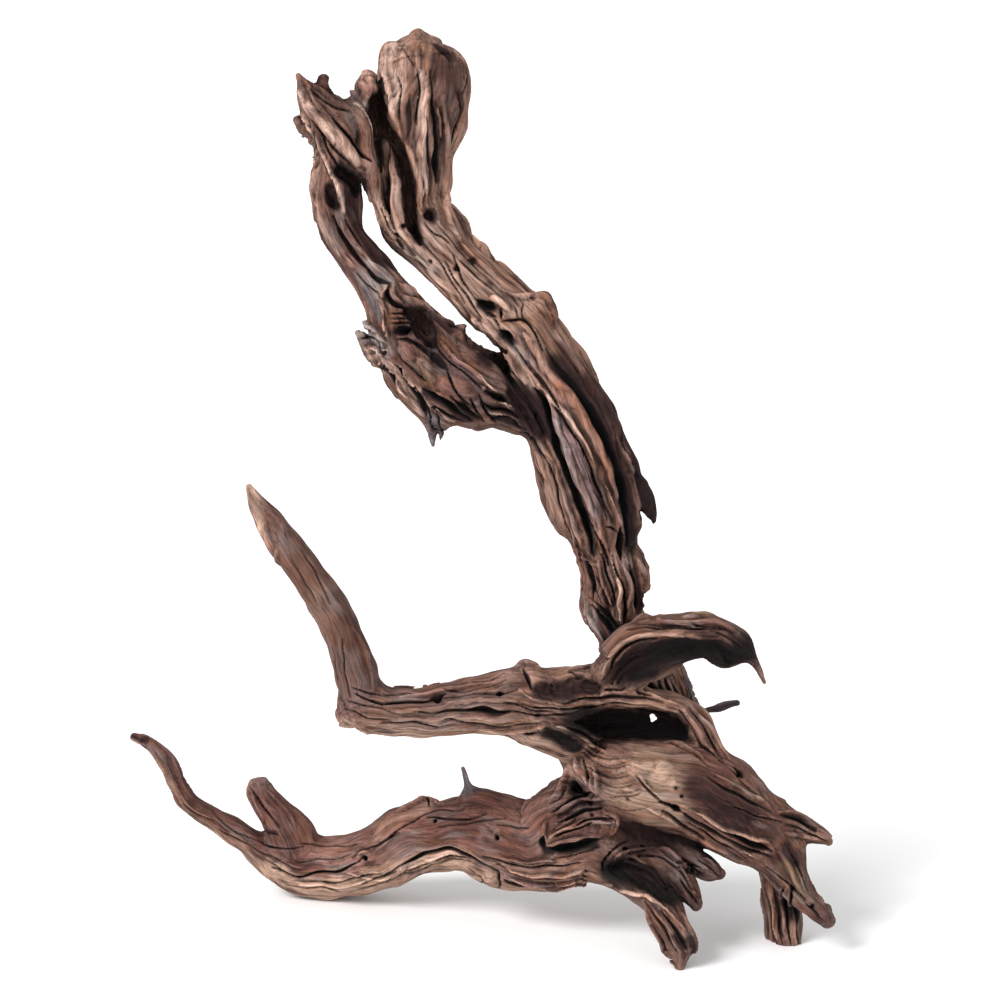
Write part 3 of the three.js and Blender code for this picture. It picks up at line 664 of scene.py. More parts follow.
G(1.2, 1.8, "387,140 388,160 388,180 389,205 394,228 404,243")
G(1.1, 1.6, "425,224 433,232 441,236 447,242")
G(1.2, 1.8, "454,256 458,268 462,280 469,291 476,300")
G(1.0, 1.6, "446,262 450,272 456,283 463,294 472,306 481,316")
G(0.9, 1.5, "420,243 430,252 440,262 447,275 455,290 463,303")
R(2.2, 1.4, "452,232 462,245 472,256 483,266 495,276")
G(0.9, 1.3, "444,232 455,247 467,258 480,270 492,281 500,292")
G(0.8, 1.3, "462,262 474,272 486,283 497,295")
pits("473,260,3,2 430,262,2,1.5 456,270,2.4,2")
# --- wing and left limb
on("left")
R([4, 6, 6.5, 6, 5, 3.4], 2.4, "298,90 305,101 314,113 325,125 337,138 349,153 361,169 371,185")
R(3.2, 2.0, "303,78 309,92 317,106 327,119 338,131 348,143 357,154 366,166 373,178")
G(1.6, 2.6, "333,118 342,129 350,140 357,152 364,164 370,173")
R(2.6, 2.2, "347,104 357,108 362,118 364,132 367,148 372,164")
R(3, 1.2, "306,84 318,90 329,99 340,106 350,110")
G(1.0, 1.5, "312,92 322,100 334,107 346,112")
G(0.9, 1.8, "318,127 325,136 333,146 343,158 352,168")
R(2.2, 1.8, "300,112 308,124 316,135 322,150 328,165 335,182 341,198 344,213")
G(1.6, 2.2, "316,133 319,148 325,162 330,175")
G(1.3, 2.0, "321,131 327,145 333,158 338,168")
R(2.0, 1.4, "314,140 317,160 316,176 313,192 316,206")
R(1.8, 1.4, "332,170 338,184 343,200 346,214")
hollow([[327, 185, 0, 4, 4], [331, 195, -1, 6.5, 6], [337, 207, -1, 4.5, 5]], k=1.6)
hollow([[338, 170, 0, 4, 5], [346, 177, 1, 7, 8], [354, 185, 3, 7, 9], [356, 193, 4, 4, 7]], k=1.2)
hollow([[361.5, 184, 8, 2, 34], [363, 192, 8, 3.4, 34], [364.5, 200, 8, 4, 34], [366, 208, 8, 3, 34]], k=0.7, shade=0.4)
G([1, 2.2, 2.4, 2.2, 1], 3.2, "333,217 338,228 345,240 352,251 360,260 368,268 374,275")
R(1.7, 1.8, "340,221 346,232 353,243 361,252 370,259")
G(1.4, 2.2, "345,221 351,232 358,243 365,253 372,260")
R(5, 1.2, "345,198 352,214 360,230 371,246 384,258 396,270")
R(3.5, 1.5, "319,197 323,212 328,226 336,241 346,255 354,266")
G(0.9, 1.4, "323,214 328,230 336,246 346,260")
R(4.5, 1.7, "369,262 378,268 387,276 393,284")
G([1, 2.4, 2.4, 1.5], 2.6, "366,267 372,276 380,281 389,284")
G(0.9, 1.5, "358,274 366,284 376,292 384,298")
# --- burl
point([[382, 306, 4, 6, 4], [372, 299, 4, 3.4, 2.4], [361, 288, 4, 1, 0.8]], k=1)
point([[386, 318, 4, 6, 4], [377, 309, 4, 3.6, 2.4], [366, 297, 4, 1.2, 1]], k=1)
point([[392, 372, 2, 6, 5], [384, 366, 2, 3, 2.5], [374, 364, 2, 1.2, 1]], k=1)
point([[404, 392, 2, 7, 5], [396, 386, 2, 3.5, 2.5], [390, 376, 2, 1.5, 1]], k=1)
hollow([[408, 312, -10, 5, 7], [418, 316, -11, 11, 12], [424, 326, -11, 12, 12], [429, 338, -12, 7, 9], [433, 347, -12, 3, 5]], k=1.8)
G([2, 3.8, 4, 2.5], [2, 4.5, 4.5, 3], "393,333 399,332 405,331 411,328")
for yy in (313.5, 318.5, 323.5):
    G(0.9, 1.6, f"391,{yy} 397,{yy + 0.7} 403,{yy + 0.2} 409,{yy - 0.8}")
    R(1.6, 1.0, f"391,{yy + 2.5} 397,{yy + 3.2} 403,{yy + 2.7} 409,{yy + 1.8}")
G([1.5, 2.4, 2.2, 2.0, 2.6], 3.4, "389,286 387,294 391,301 398,306 410,309")
R(2.8, 2.2, "393,287 393,296 398,302 405,305")
R(5.5, 2.4, "400,284 408,290 416,296")
R(4.5, 2.2, "405,296 412,301 422,307 434,312")
R(4, 2.0, "437,313 445,321 455,327 463,330 468,340 471,347")
knobs("457,334,9,3 462,330,6,3")
R(3.6, 3.0, "384,289 383,301 385,313 386,326 388,339")
R(2.6, 2.0, "386,343 379,334 372,326 367,322")
R(2.6, 2.0, "388,350 376,347 366,340 360,333")
G(1.0, 1.8, "367,329 374,338 381,347 387,354")
R(2.6, 2.2, "372,345 383,352 392,360 400,371 407,382 415,389")
G([0.8, 1.5, 1.6, 1.4], 3.0, "376,351 388,357 396,366 402,377 408,386 415,390")
R(2.4, 2.0, "379,363 389,370 396,382 402,392 411,400 418,411")
G([1, 2.2, 2.2, 1.2], 3.6, "385,366 392,376 397,387 401,395")
G([0.8, 1.8, 2, 1.6], 3.2, "401,377 409,388 417,397 423,408 427,419")
R([1, 1.8, 1.8, 1.2], 2.0, "395,371 403,382 411,391 419,401 425,411")
G([0.8, 1.4, 1.4, 0.8], 2.4, "430,404 440,411 451,417 462,421")
R([1, 1.6, 1.6, 1], 1.8, "428,408 438,415 449,421 460,424")
hollow([[449, 431, 2, 3, 34], [456, 431, 2, 6, 34], [464, 432, 2, 6, 34], [472, 434, 2, 4, 34], [480, 437, 2, 3, 34]], k=1, shade=0.2)
R(2.2, 2.0, "402,388 412,392 420,402 426,414")
G([1, 2, 2, 1.4], 3.4, "415,388 421,399 427,410 431,419")
R(2.8, 2.2, "420,391 428,401 436,409 447,417 457,421")
G([1, 2.8, 2.8, 2.4, 1], 4.2, "424,390 435,397 447,403 458,411 471,421")
R(1.5, 1.8, "417,381 430,389 445,396 458,403 470,412 480,420")
G([1, 2.2, 2.2, 1], 3.2, "452,396 463,406 474,415 484,421")
G(1.0, 1.6, "400,357 408,366 416,374 424,381")
R(7, 2.6, "402,343 407,352 410,363", k=2.5)
R(6, 2.2, "418,358 425,368 432,380", k=2.5)
R(7, 2.4, "440,378 448,388 458,398", k=2.5)
G(2.0, 2.0, "399,340 408,340 418,344 427,352 434,362", k=1.2)
R(1.3, 1.4, "413,344 422,347 432,350 440,346")
G(5, 2.6, "431,353 438,361 446,369", k=1.4)
R([2.2, 3, 3, 3, 2], 2.4, "434,335 441,344 450,355 461,363 474,374 484,383 492,388")
G(1.1, 2.0, "436,345 446,358 457,367 470,378 481,388")
R(7, 1.4, "452,368 460,382 470,396", k=2.5)
G(1.2, 1.8, "446,370 452,384 461,396 472,408")
R(1.4, 2.0, "478,376 488,386 498,395 508,404 517,414 523,421")
R(1.2, 1.6, "480,386 490,392 500,400 510,410 519,420")
G([1, 3, 3, 1], 4.0, "486,391 494,395 501,399 508,404")
G(1.5, 3.0, "482,402 493,408 506,411 517,417")
G(1.2, 2.6, "493,419 504,417 514,421 522,429")
G(1.3, 2.6, "479,396 484,406 490,415 497,423")
G(1.2, 2.2, "470,398 476,409 483,419")
R(1.3, 1.6, "484,410 496,413 508,416 518,424")
G(0.9, 2.0, "462,400 470,410 479,421")
G(1.0, 2.0, "430,418 431,430 435,441")
G(1.0, 2.0, "438,417 440,427 441,438")
R(1.6, 1.6, "476,352 486,354 497,356 503,362")
G([1.5, 4, 4.5, 5], [2, 4, 5, 5], "490,358 498,364 506,373 515,384", k=1.2)
# --- trunk: upper part
on("trunk")
R(2.4, 1.8, "500,289 512,295 525,298 537,295")
G(1.6, 2.0, "503,322 512,320 521,318 527,321 532,328 537,338 541,350")
G(0.9, 1.3, "516,306 518,312 520,318")
G(0.9, 1.3, "523,304 523,311 525,318")
G([1.4, 3, 4, 4, 2], [2, 4, 6, 6, 3], "474,298 480,302 486,306 491,308 495,309", k=1)
G([1, 2.6, 2.6, 1], [1.5, 3, 3, 2], "484,310 488,314 492,316 497,318", k=1)
G([1, 1.6, 1], 3, "501,311 502,315 502,318", k=1)
G([1.6, 3.6, 3.6, 2], [3, 5.5, 5.5, 3], "500,331 505,334 509,338 512,344", k=1)
G(1.2, 2.0, "495,319 498,324 500,329", k=1)
pits("572,669,2,1.5")
R([4, 6.5, 6.5, 6.5, 5], 2.4, "470,318 481,322 491,330 500,341 509,354 517,368 526,382")
R(5.5, 2.0, "488,296 499,303 510,310")
R(5, 2.2, "520,330 529,342 538,356 547,370 556,384")
G(1.1, 1.8, "513,345 520,356 528,367 537,378 546,390")
G(1.2, 2.0, "527,362 536,374 545,385 553,397 560,408")
R(3.2, 2.4, "539,386 546,394 553,405 557,420 561,436 566,452 573,470 581,488 589,505 597,520 603,533")
G([3, 5, 4.4, 3.4, 2.8, 2.8, 3.2, 3.6, 3.6, 2.4], [4, 8, 8, 7, 6, 6, 6, 7, 7, 4],
  "535,390 543,400 548,415 553,432 557,450 563,466 571,483 579,503 585,522 590,540 594,556", k=0.9)
hollow([[514, 392, -8, 7, 7], [525, 404, -8, 11, 9], [535, 418, -8, 11, 9], [545, 434, -8, 7, 8]], k=3)
G(1.1, 2.0, "504,352 510,362 518,374")
R([2, 3.2, 3.2, 3, 2.6], 2.4, "511,399 520,411 529,427 536,443 542,460 546,478")
R(2.2, 2.0, "522,400 532,418 541,435 548,450 556,466 562,482 567,500 573,520 580,540 588,553")
G(1.2, 2.4, "527,424 536,440 544,455 551,470 556,486 560,504 566,524 573,540")
G(1.1, 2.0, "518,412 527,430 534,450 538,470 543,486")
G(0.9, 1.6, "545,458 549,466 551,474")
R([1.6, 2.2, 2.4, 2.2, 2, 2, 2, 1.8], 1.9, "548,394 556,402 564,411 571,421 578,432 585,444 592,457 600,474 609,492 617,510 621,524")
G(1.2, 2.0, "553,404 562,416 571,430 580,446 588,462 594,478 601,494 606,508 612,522")
R(6, 2.6, "553,372 563,386 574,403 585,420 594,437 602,456 610,476 617,496", k=2)
G([2, 4, 5, 5, 5, 5, 5, 5, 4], [2, 4, 5, 6, 6, 6, 6, 6, 5],
  "546,350 556,364 567,378 578,393 589,409 599,426 607,444 614,463 620,484 625,505 627,527 628,547", k=1.2)
R([4, 6, 6, 5.5, 5, 4], 2.4, "556,330 567,350 580,369 593,386 604,403 613,423 620,443 628,462 638,480 646,498", k=2)
G(1.0, 1.8, "591,377 597,385 601,394 606,404")
G(1.0, 1.8, "616,430 622,448 630,466 638,482")
R(7, 1.8, "566,430 573,448 582,466 590,484 596,500", k=2)
for dx, dy in ((0, 0), (5, 3), (10, 8), (15, 14)):
    G(0.6, 0.6, f"{562 + dx},{424 + dy} {567 + dx},{440 + dy} {574 + dx},{456 + dy} {581 + dx},{472 + dy} {588 + dx},{488 + dy}")
G(0.9, 1.5, "593,488 599,499 604,508 606,520")
point([[618, 515, 0, 6, 4], [620, 525, -1, 4, 3], [622, 535, -1, 1.5, 1.2]], k=1)
G([1, 3, 3.4, 3], [2, 5, 6, 5], "621,527 620,536 620,546 621,558", k=1)
G(1.1, 2.4, "607,528 612,529 616,532")
point([[630, 500, 6, 8, 6], [636, 512, 6, 6, 4], [640, 524, 6, 3, 2]], k=1)
hollow([[639, 509, 12, 1.4, 34], [643, 516, 12, 3, 34], [647, 525, 12, 5.6, 34], [646, 536, 12, 8.4, 34], [646, 550, 12, 8, 34]], k=0.6, shade=0.5)
# --- trunk: lower part
R(1.8, 1.6, "571,530 576,545 580,560 583,580 585,600")
R([1.5, 2, 2, 1.6], 2.0, "576,548 584,556 592,562 599,566")
G([1, 2.6, 2.6, 1.8, 1.2], 3.0, "582,556 588,566 592,578 593,590 592,600")
R(1.8, 1.8, "590,560 596,575 600,590 605,603 611,615")
G(1.3, 2.2, "586,562 590,578 596,592 604,605 612,618")
R(1.6, 1.8, "599,562 602,578 607,594 614,608 619,620")
G(1.3, 2.4, "603,555 606,570 611,588 616,604")
R([1.5, 2.4, 2.4, 2], 2.6, "607,545 611,560 616,576 619,594 620,610 620,624")
R(1.5, 1.8, "596,522 602,535 607,548 611,560")
R(1.5, 1.8, "590,515 597,530 602,545 606,560")
G(1.2, 2.4, "592,523 599,537 605,552 609,566")
G(1.2, 2.4, "615,566 621,580 624,596 625,612 625,624")
R(2.2, 2.0, "622,562 627,576 629,590 628,604 627,618")
G([1.4, 2.4, 2.4, 2], 3.2, "630,566 633,580 634,596 635,612")
R(2.6, 1.8, "634,556 640,568 646,580 641,594 639,608")
G([0.8, 1.6, 1.8, 1.4], 3.0, "590,600 599,607 608,615 616,624 622,631")
G([0.8, 2.2, 3.2, 3, 1.4], 4.2, "591,607 598,614 605,621 611,629 618,638")
R(1.0, 1.6, "590,604 600,611 609,619 617,628 622,634")
R([3, 4, 4, 3], 2.0, "587,610 591,620 597,630 605,641 612,650")
G(0.9, 1.6, "585,612 590,618 592,626")
G([1.5, 3, 2.4], [2, 4, 3], "630,622 628,630 625,636", k=0.8)
R(1.4, 1.6, "621,612 622,624 622,636 619,646")
# the trunk narrows above the claw: hollowed sides
hollow([[566, 556, 4, 3, 44], [569, 566, 4, 7.5, 44], [572, 578, 4, 8.5, 44], [573.5, 590, 4, 9, 44], [575, 602, 4, 8, 44],
        [576, 612, 4, 5, 44]], k=1, shade=0.2)
hollow([[655, 589, 4, 2.5, 34], [650, 596, 4, 8.5, 34], [650, 602, 4, 8.5, 34]], k=1, shade=0.2)
hollow([[648, 548, 4, 3, 34], [652, 556, 4, 6.5, 34], [654.5, 564, 4, 7, 34], [657, 571, 4, 4, 34]], k=1, shade=0.2)
# --- claw root
on("claw")
point([[612, 690, 2, 8, 6], [626, 690, 0, 8, 6], [638, 686, -4, 7, 6], [646, 678, -8, 5, 5]], k=3)
hollow([[604, 694, -22, 4, 8], [618, 676, -27, 11, 12], [640, 664, -34, 19, 14], [668, 656, -38, 17, 14], [696, 652, -43, 13.5, 13],
        [718, 655, -46, 12, 12], [736, 658, -46, 7, 9]], k=0.8)
R([2, 3, 3, 3, 2.5], 2.0, "600,676 606,664 613,652 625,642 640,636 660,633 685,635 705,637 722,639")
R([1.5, 2, 2], 1.6, "612,676 616,662 624,650 636,644")
G(1.4, 2.2, "604,680 611,668 615,656 625,647 640,641 655,638")
G(1.2, 1.8, "628,630 645,627 665,628 688,629 706,629 724,630")
R(3.0, 1.8, "640,622 655,620 672,623 690,624 708,622 726,626 740,632")
G(0.9, 1.5, "636,624 652,624 670,626 690,627")
G(1.0, 1.6, "690,624 704,626 720,628 734,632")
R(5, 1.8, "684,619 696,616 706,616 718,620", k=1.6)
R(4, 1.6, "632,621 644,617 656,616")
G([1, 1.6, 1.6], 1.8, "658,616 664,620 676,622 688,621")
G(1.0, 1.6, "718,634 732,640 742,648")
inner([[607, 680, -15, 1.6, 1.4], [613, 668, -14, 2.6, 2], [623, 657, -15, 2.6, 2], [636, 649, -17, 1.6, 1.5]])
inner([[614, 684, -15, 1.6, 1.4], [620, 673, -15, 2.6, 2], [630, 663, -17, 2.6, 2], [642, 656, -20, 1.6, 1.5]])
point([[716, 656, -34, 6, 6], [722, 663, -34, 5, 5], [727, 664, -34, 4, 4]], k=2)
point([[604, 660, -8, 6, 5], [601, 652, -8, 3.5, 3], [602, 647, -8, 2, 1.5]], k=1.5)
R(1.4, 1.4, "748,650 754,660 759,670")
on("trunk")
for dx in (0, 7, 14, 21, 28):
    G(0.8, 0.9, f"{654 + dx},668 {658 + dx},682 {663 + dx},696 {668 + dx},710")
    R(1.6, 0.9, f"{657.5 + dx},668 {661.5 + dx},682 {666.5 + dx},696 {671.5 + dx},710")
# --- the saddle and the lid over the eye hole
on("lid", "mid", "ball", "low", "ballback")
hollow([[534, 684, -17, 5, 5], [546, 688, -17, 9, 9], [562, 687, -17, 11, 11], [580, 686, -14, 10, 9], [594, 687, -10, 5, 5]], k=4)
G([1.2, 2.2, 2.2, 1.2], 2.6, "524,668 526,674 528,680 531,686")
R(5, 1.6, "516,667 523,663 531,664 540,668", k=2)
R([3, 4, 4], 1.4, "566,671 578,668 590,667 600,669")
G(1.1, 1.6, "570,672 575,674 582,675")
R(2.6, 1.6, "560,700 580,697 600,694 620,692 640,693 660,697 676,704")
G(0.9, 1.6, "566,703 585,699 605,697 625,696 645,698 662,702")
R(2.4, 1.4, "566,707 585,704 605,701 625,700 645,702 664,707 678,713")
G(0.9, 1.5, "575,712 595,706 615,704 640,705 662,709")
G(0.9, 1.5, "600,686 615,688 632,690 650,693 666,699")
R(2.2, 1.4, "592,688 606,685 620,684 634,687 650,690")
G(0.8, 1.3, "604,690 618,692 634,693 650,696")
R(3, 1.6, "684,710 692,720 699,732 705,744 713,754", k=1)
G(1.2, 2.0, "680,712 688,722 694,733 700,745")
G(1.0, 1.6, "690,708 699,718 706,730 712,743 720,755")
R(2.4, 1.4, "700,714 708,724 714,736 720,748 730,760")
G(0.9, 1.5, "704,728 710,740 716,752 724,762")
# hollow under the lid, left of it a second one, and the chink of light right through
for x_, y_, r_ in ((652.4, 716.4, 2.7), (652.6, 720.6, 2.3), (655.6, 718.6, 2.1)):
    p_, s_c = place([[x_, y_, -4], [x_, y_, 40]])
    CUT.append(Tube("chink", p_, [r_ * 0.5, r_ * 0.5], [r_ * 0.5, r_ * 0.5], step=2.0, reach=3.0, k=0.8, smooth=False, shade=0.1))
hollow([[566, 720, -6, 2.5, 8], [580, 721, -6, 7, 12], [600, 722, -6, 12, 16], [624, 723, -6, 15, 17], [648, 724, -6, 15, 16],
        [668, 726, -6, 13.5, 15], [682, 732, -6, 9, 12]], k=1.2)
hollow([[543, 736, -22, 3, 5], [553, 737, -22, 7, 8], [565, 741, -22, 8.5, 10], [577, 747, -22, 6, 8], [584, 752, -20, 2.5, 5]], k=1)
R([1.5, 2.4, 2.4, 2], 2.0, "544,727 558,726 570,729 582,737 594,746 606,753")
R([1.5, 2, 2], 1.6, "566,724 580,729 592,736 604,741")
G(0.9, 1.6, "568,727 580,733 592,741 602,748")
# --- middle branch
on("mid", "lid", "ball", "horn")
G([0.8, 1.5, 1.7, 1.7, 1.4], 3.0, "357,694 368,699 381,704 394,702 410,702 428,700 440,697")
pits("438,698,4.8,4 500,693,2.4,3 537,716,2,2 571,672,1.8,2")
G(2.4, 2.8, "432,698 438,697 445,694")
G([0.8, 1.3, 1.3, 1.4, 3.6, 3.8, 2.4], [1.5, 2, 2.2, 2.2, 4.5, 4.5, 3], "420,712 435,712 450,711 466,710 485,711 498,713 512,712")
G(0.8, 1.6, "512,712 525,714 540,716 556,715 572,713")
G(0.9, 1.6, "382,724 400,723 418,724 436,726")
G(0.8, 1.4, "446,719 462,722 480,725 500,727 520,725 540,723")
G(0.8, 1.4, "395,729 415,731 440,732 465,730")
G(0.8, 1.4, "345,710 356,712 366,717 378,720 392,721")
G(0.8, 1.4, "440,691 458,690 476,689 492,685 505,680")
G(0.8, 1.4, "446,698 462,695 480,694 498,694 516,690")
G(0.8, 1.4, "385,694 400,694 416,693")
G(0.7, 1.2, "452,684 470,682 488,679 504,673")
R(2.4, 1.2, "400,697 420,695 440,692 460,687 482,683 502,678")
R(2.4, 1.3, "445,703 465,701 485,700 505,700 522,704")
R(2.6, 1.2, "385,710 405,711 425,708 445,706")
R(2.6, 1.3, "400,718 425,719 450,716 475,717 500,720 525,720")
R(3, 1.4, "420,729 445,728 470,727 495,731 520,731 545,726", k=1)
G([1, 1.6, 1.4], 2.0, "519,732 528,734 538,733")
R(1.4, 1.2, "520,690 530,697 545,702 562,704 580,703")
G(0.9, 1.6, "524,705 540,708 558,709 576,708 592,706")
G(0.8, 1.4, "505,702 520,706 536,711 552,712")
R(1.4, 1.4, "498,690 503,687 512,686")
# --- horn
on("horn", "mid")
R([2, 3.6, 3.6, 3], 1.7, "249,491 253,504 257,519 261,534", k=0.8)
R([1.5, 2.4, 2], 1.3, "264,533 267,542 271,552", k=0.8)
G(0.8, 1.2, "253,488 259,500 264,514 268,530 274,546")
R(1.8, 1.2, "276,550 277,558 280,566", k=1.2)
G(0.6, 0.8, "300,548 312,566 322,584 330,602")
G(0.6, 0.8, "290,556 300,572 310,590 318,606")
G(0.7, 1.0, "342,640 344,660 346,680 350,696")
G(0.7, 1.0, "332,648 335,664 338,680")
R(2.4, 1.0, "352,628 360,640 366,654 371,668")
point([[350, 722, -16, 6, 5], [344, 725, -16, 3, 3], [339, 726, -16, 1.5, 1.2]], k=1)
G(0.8, 1.2, "352,688 362,690 374,694 388,696")
G(0.8, 1.2, "347,702 358,703 370,706 384,710")
# --- hub
on("ball", "lid", "ballback", "ballunder", "low", "mid")
R(12, 2.8, "650,766 662,772 674,784", k=4)
R(8, 2.0, "625,772 640,768 655,764", k=4)
G(0.7, 0.8, "574,742 590,752 606,758 622,759 634,757")
G(0.7, 0.7, "582,752 598,763 614,768 630,767")
G(0.7, 0.8, "590,775 602,782 614,787 628,787 634,784")
G(0.7, 0.8, "586,766 600,774 616,778 630,776")
G(0.7, 0.8, "612,798 624,797 636,796 642,792")
G(0.7, 0.7, "620,789 626,793 634,792 640,790")
G([0.8, 1.3, 1.4, 1.2], 1.5, "637,777 643,784 650,791 657,798 664,804")
R(1.6, 1.2, "641,778 647,786 654,794 662,800")
G([1, 2, 1.6], 2.6, "660,803 668,806 680,812")
pits("675,809,4,5 676,788,1.6,1.6 682,796,1.6,1.6 740,773,5.6,5 736,769,3,4 577,789,7.4,7 628,800,1.5,1.5 592,814,1.8,1.6")
R([1.4, 2, 2, 1.6], 1.8, "668,801 684,807 700,815 716,823 734,832 752,838 768,842 774,850 775,858")
G([1.2, 2.2, 2.4, 2.2, 1.4], 3.4, "684,814 698,824 712,832 728,840 744,848 760,853 770,856")
G([1.2, 2.2, 2.6, 3.2, 2.6], 3.6, "706,822 720,828 736,836 750,843 764,848 771,851")
R([1.4, 2, 2, 1.4], 1.8, "676,810 690,820 704,829 720,836 736,845 752,854 768,862")
G(1.3, 2.6, "690,824 704,833 718,842 732,850 746,858")
R(1.8, 1.8, "690,830 706,840 722,848 738,858 752,866")
G(1.0, 2.0, "662,812 676,820 690,830 704,838")
R(2.6, 1.6, "640,806 656,812 672,820 686,828 700,838", k=1)
G(1.0, 1.6, "702,746 716,757 728,768 742,782 756,794")
G(0.9, 1.5, "668,743 682,748 696,756 708,765")
R(1.3, 1.2, "664,742 680,745 694,752 708,762")
G([1, 1.8, 1.8, 1.2], 2.2, "708,778 722,786 738,794 754,802 770,812")
R(2.2, 1.3, "712,772 728,782 744,790 760,800 776,810")
G(1.0, 1.8, "730,806 746,812 762,818 778,822")
R(2.4, 1.2, "718,800 736,808 754,816 772,820")
for k_, (x0, y0) in enumerate(((600, 752), (598, 760), (596, 770), (600, 779), (606, 788), (612, 806))):
    G(0.6, 0.5, f"{x0},{y0} {x0 + 12},{y0 + 5} {x0 + 24},{y0 + 5} {x0 + 34},{y0 + 2}")
R(3.4, 2.0, "575,760 579,770 588,780 596,792", k=1.2)
R(3.0, 2.0, "592,764 596,776 598,790", k=1.2)
G(1.2, 2.0, "583,760 586,770 590,784 594,796")
R(3.4, 2.0, "567,768 566,778 562,788 552,796", k=1.2)
G(1.2, 2.0, "566,788 560,796 550,802")
# folded lobes left of the hub
R([2, 3.4, 3.4, 2], 2.6, "555,818 563,810 576,803 590,799 602,797", k=1)
G([1, 2.4, 2.2], 3.0, "552,812 564,804 578,797 590,793")
R([2, 3, 2.4], 2.2, "556,824 568,818 582,812 596,808", k=1)
G([1, 2, 2, 1], 2.6, "560,822 572,816 588,810 602,808")
R([1.6, 2.8, 2.8, 2], 2.4, "549,838 559,833 571,827 583,822 595,818", k=1)
R(2.4, 2.4, "547,822 545,830 545,838", k=1)
R(1.6, 1.8, "556,829 566,823 577,817")
R([2.6, 3.2, 2.8, 1.6], 2.6, "545,846 555,844 566,841 577,838 586,836", k=1)
G(1.1, 2.4, "556,836 566,831 578,828 590,824")
R(2.6, 1.8, "572,830 584,825 596,822 610,822", k=1)
G(1.0, 2.0, "574,826 586,821 600,818 612,818")
R(3.0, 1.8, "606,812 616,816 618,826 612,834", k=1.2)
G([2, 4, 4.5, 3.5, 2], [2, 5, 5, 4, 2], "549,850 560,848 574,846 590,842 602,838", k=1.4)
G([1.5, 3.5, 3], [2, 4, 3], "544,836 540,842 544,850", k=1.2)
# shaded mass under the hub
hollow([[622, 828, -22, 5, 5], [636, 833, -22, 10, 8], [652, 838, -20, 9, 8], [664, 840, -18, 5, 6]], k=1.5)
# --- front legs
on("leg", "ftoe", "fprong", "low", "ball", "ballunder")
hollow([[603, 872, -26, 3, 6], [616, 868, -30, 8, 10], [634, 870, -34, 13, 14], [650, 876, -40, 14, 14], [662, 886, -46, 12, 12],
        [672, 898, -50, 7, 10]], k=0.8)
R([1.4, 2, 2, 1.6], 2.0, "600,869 612,861 624,854 638,849 654,848 668,853 680,862 690,868")
G(1.0, 2.0, "640,856 656,856 670,864 684,876 692,888")
R(1.4, 1.6, "664,858 676,866 686,876 692,888 696,900")
G(1.1, 2.0, "676,862 688,864 700,868")
R([1.6, 2.4, 2.4, 2], 2.0, "606,884 620,889 636,893 652,899 664,907 674,918 684,930")
G([1, 1.8, 1.8, 1.2], 2.6, "645,903 652,913 661,926 669,940 676,950")
R(1.8, 1.8, "652,906 661,918 670,930 678,943 686,950")
G([1, 2, 2], 2.6, "662,912 672,925 682,938 688,948")
R(2.4, 1.8, "645,905 650,918 657,933 665,948 674,962")
G(1.0, 1.8, "654,926 661,940 669,954 676,964")
R([2, 2.4, 2], 1.6, "682,914 686,926 692,938")
point([[686, 938, -44, 6, 5], [692, 945, -44, 4, 4], [694, 950, -44, 2, 2]], k=1.2)
G([2, 3.4, 3], 3.4, "680,868 690,871 700,874")
G([0.8, 1.4, 1], 2.0, "700,860 709,866 717,875")
R([1, 1.6, 1], 1.5, "703,857 712,863 719,871")
G([0.8, 1.4, 1], 2.0, "681,880 689,891 696,902")
R([1, 1.6, 1], 1.5, "685,878 693,889 699,899")
knobs("716,875,4,1.2 699,902,4,1.2")
# --- right legs and feet
on("toe", "prong", "foot", "ball")
R(1.6, 1.6, "780,812 794,814 806,820 818,828")
G([1, 2, 2, 1], 2.6, "782,815 792,818 804,823 816,831")
G(1.0, 1.6, "786,824 800,830 814,836 826,842")
R(2.6, 1.4, "784,832 800,836 816,838 826,842")
R([1.5, 2.4, 2.4, 2], 1.8, "762,874 774,884 786,893 797,903 806,912")
G(1.1, 1.8, "766,868 780,878 794,888 804,898")
G(1.2, 1.8, "790,848 796,862 802,876 808,890")
R(3.0, 1.6, "780,852 788,866 796,880 804,894 814,906", k=1.2)
pits("793,888,2.8,2 812,906,2,1.5")
G(0.9, 1.6, "806,904 814,912 822,920")
G([1, 1.6, 1], 2.2, "812,884 820,896 827,909")
R([1, 1.8, 1.2], 1.6, "808,880 816,892 823,904")
R([1, 1.6, 1], 1.4, "803,896 811,908 819,919")
knobs("824,916,5,1.6 829,906,4,1.4")
for x_ in (771, 779, 788.5, 796):
    G([1, 1.7, 1.7, 1.2], 2.8, f"{x_ - 5},888 {x_ - 3},904 {x_},922 {x_ + 2},944")
for x_ in (767, 775, 784, 793):
    R([1.2, 1.8, 1.8, 1.4], 1.5, f"{x_ - 4},888 {x_ - 2},904 {x_},922 {x_ + 2},944")
# --- low root
on("low", "ball", "stub")
G([1, 1.9, 2.2, 2.2, 2, 1.2], 3.4, "383,876 398,868 412,860 426,853 442,850 458,852 472,858 485,865 497,873")
G([0.8, 1.4, 1.5, 1.4], 2.6, "272,868 284,873 298,876 312,874 326,872 342,870 355,864 362,858")
G(1.1, 2.2, "352,858 360,851 370,848 380,843 390,836 400,829 412,821 424,814 436,810 450,810 462,809")
pits("365,858,3.2,3 497,838,3,3 435,821,2.2,2")
R(3.4, 1.6, "357,858 364,853 372,855")
knobs("497,834,5,1.6")
G(1.6, 1.8, "378,842 388,838 398,834")
G(1.3, 2.0, "428,817 440,818 456,819 472,818 486,815")
G(0.8, 1.3, "440,827 460,824 482,821 505,818")
G(0.9, 1.5, "497,825 512,826 528,828")
G(0.7, 1.0, "300,843 320,845 342,846 356,845")
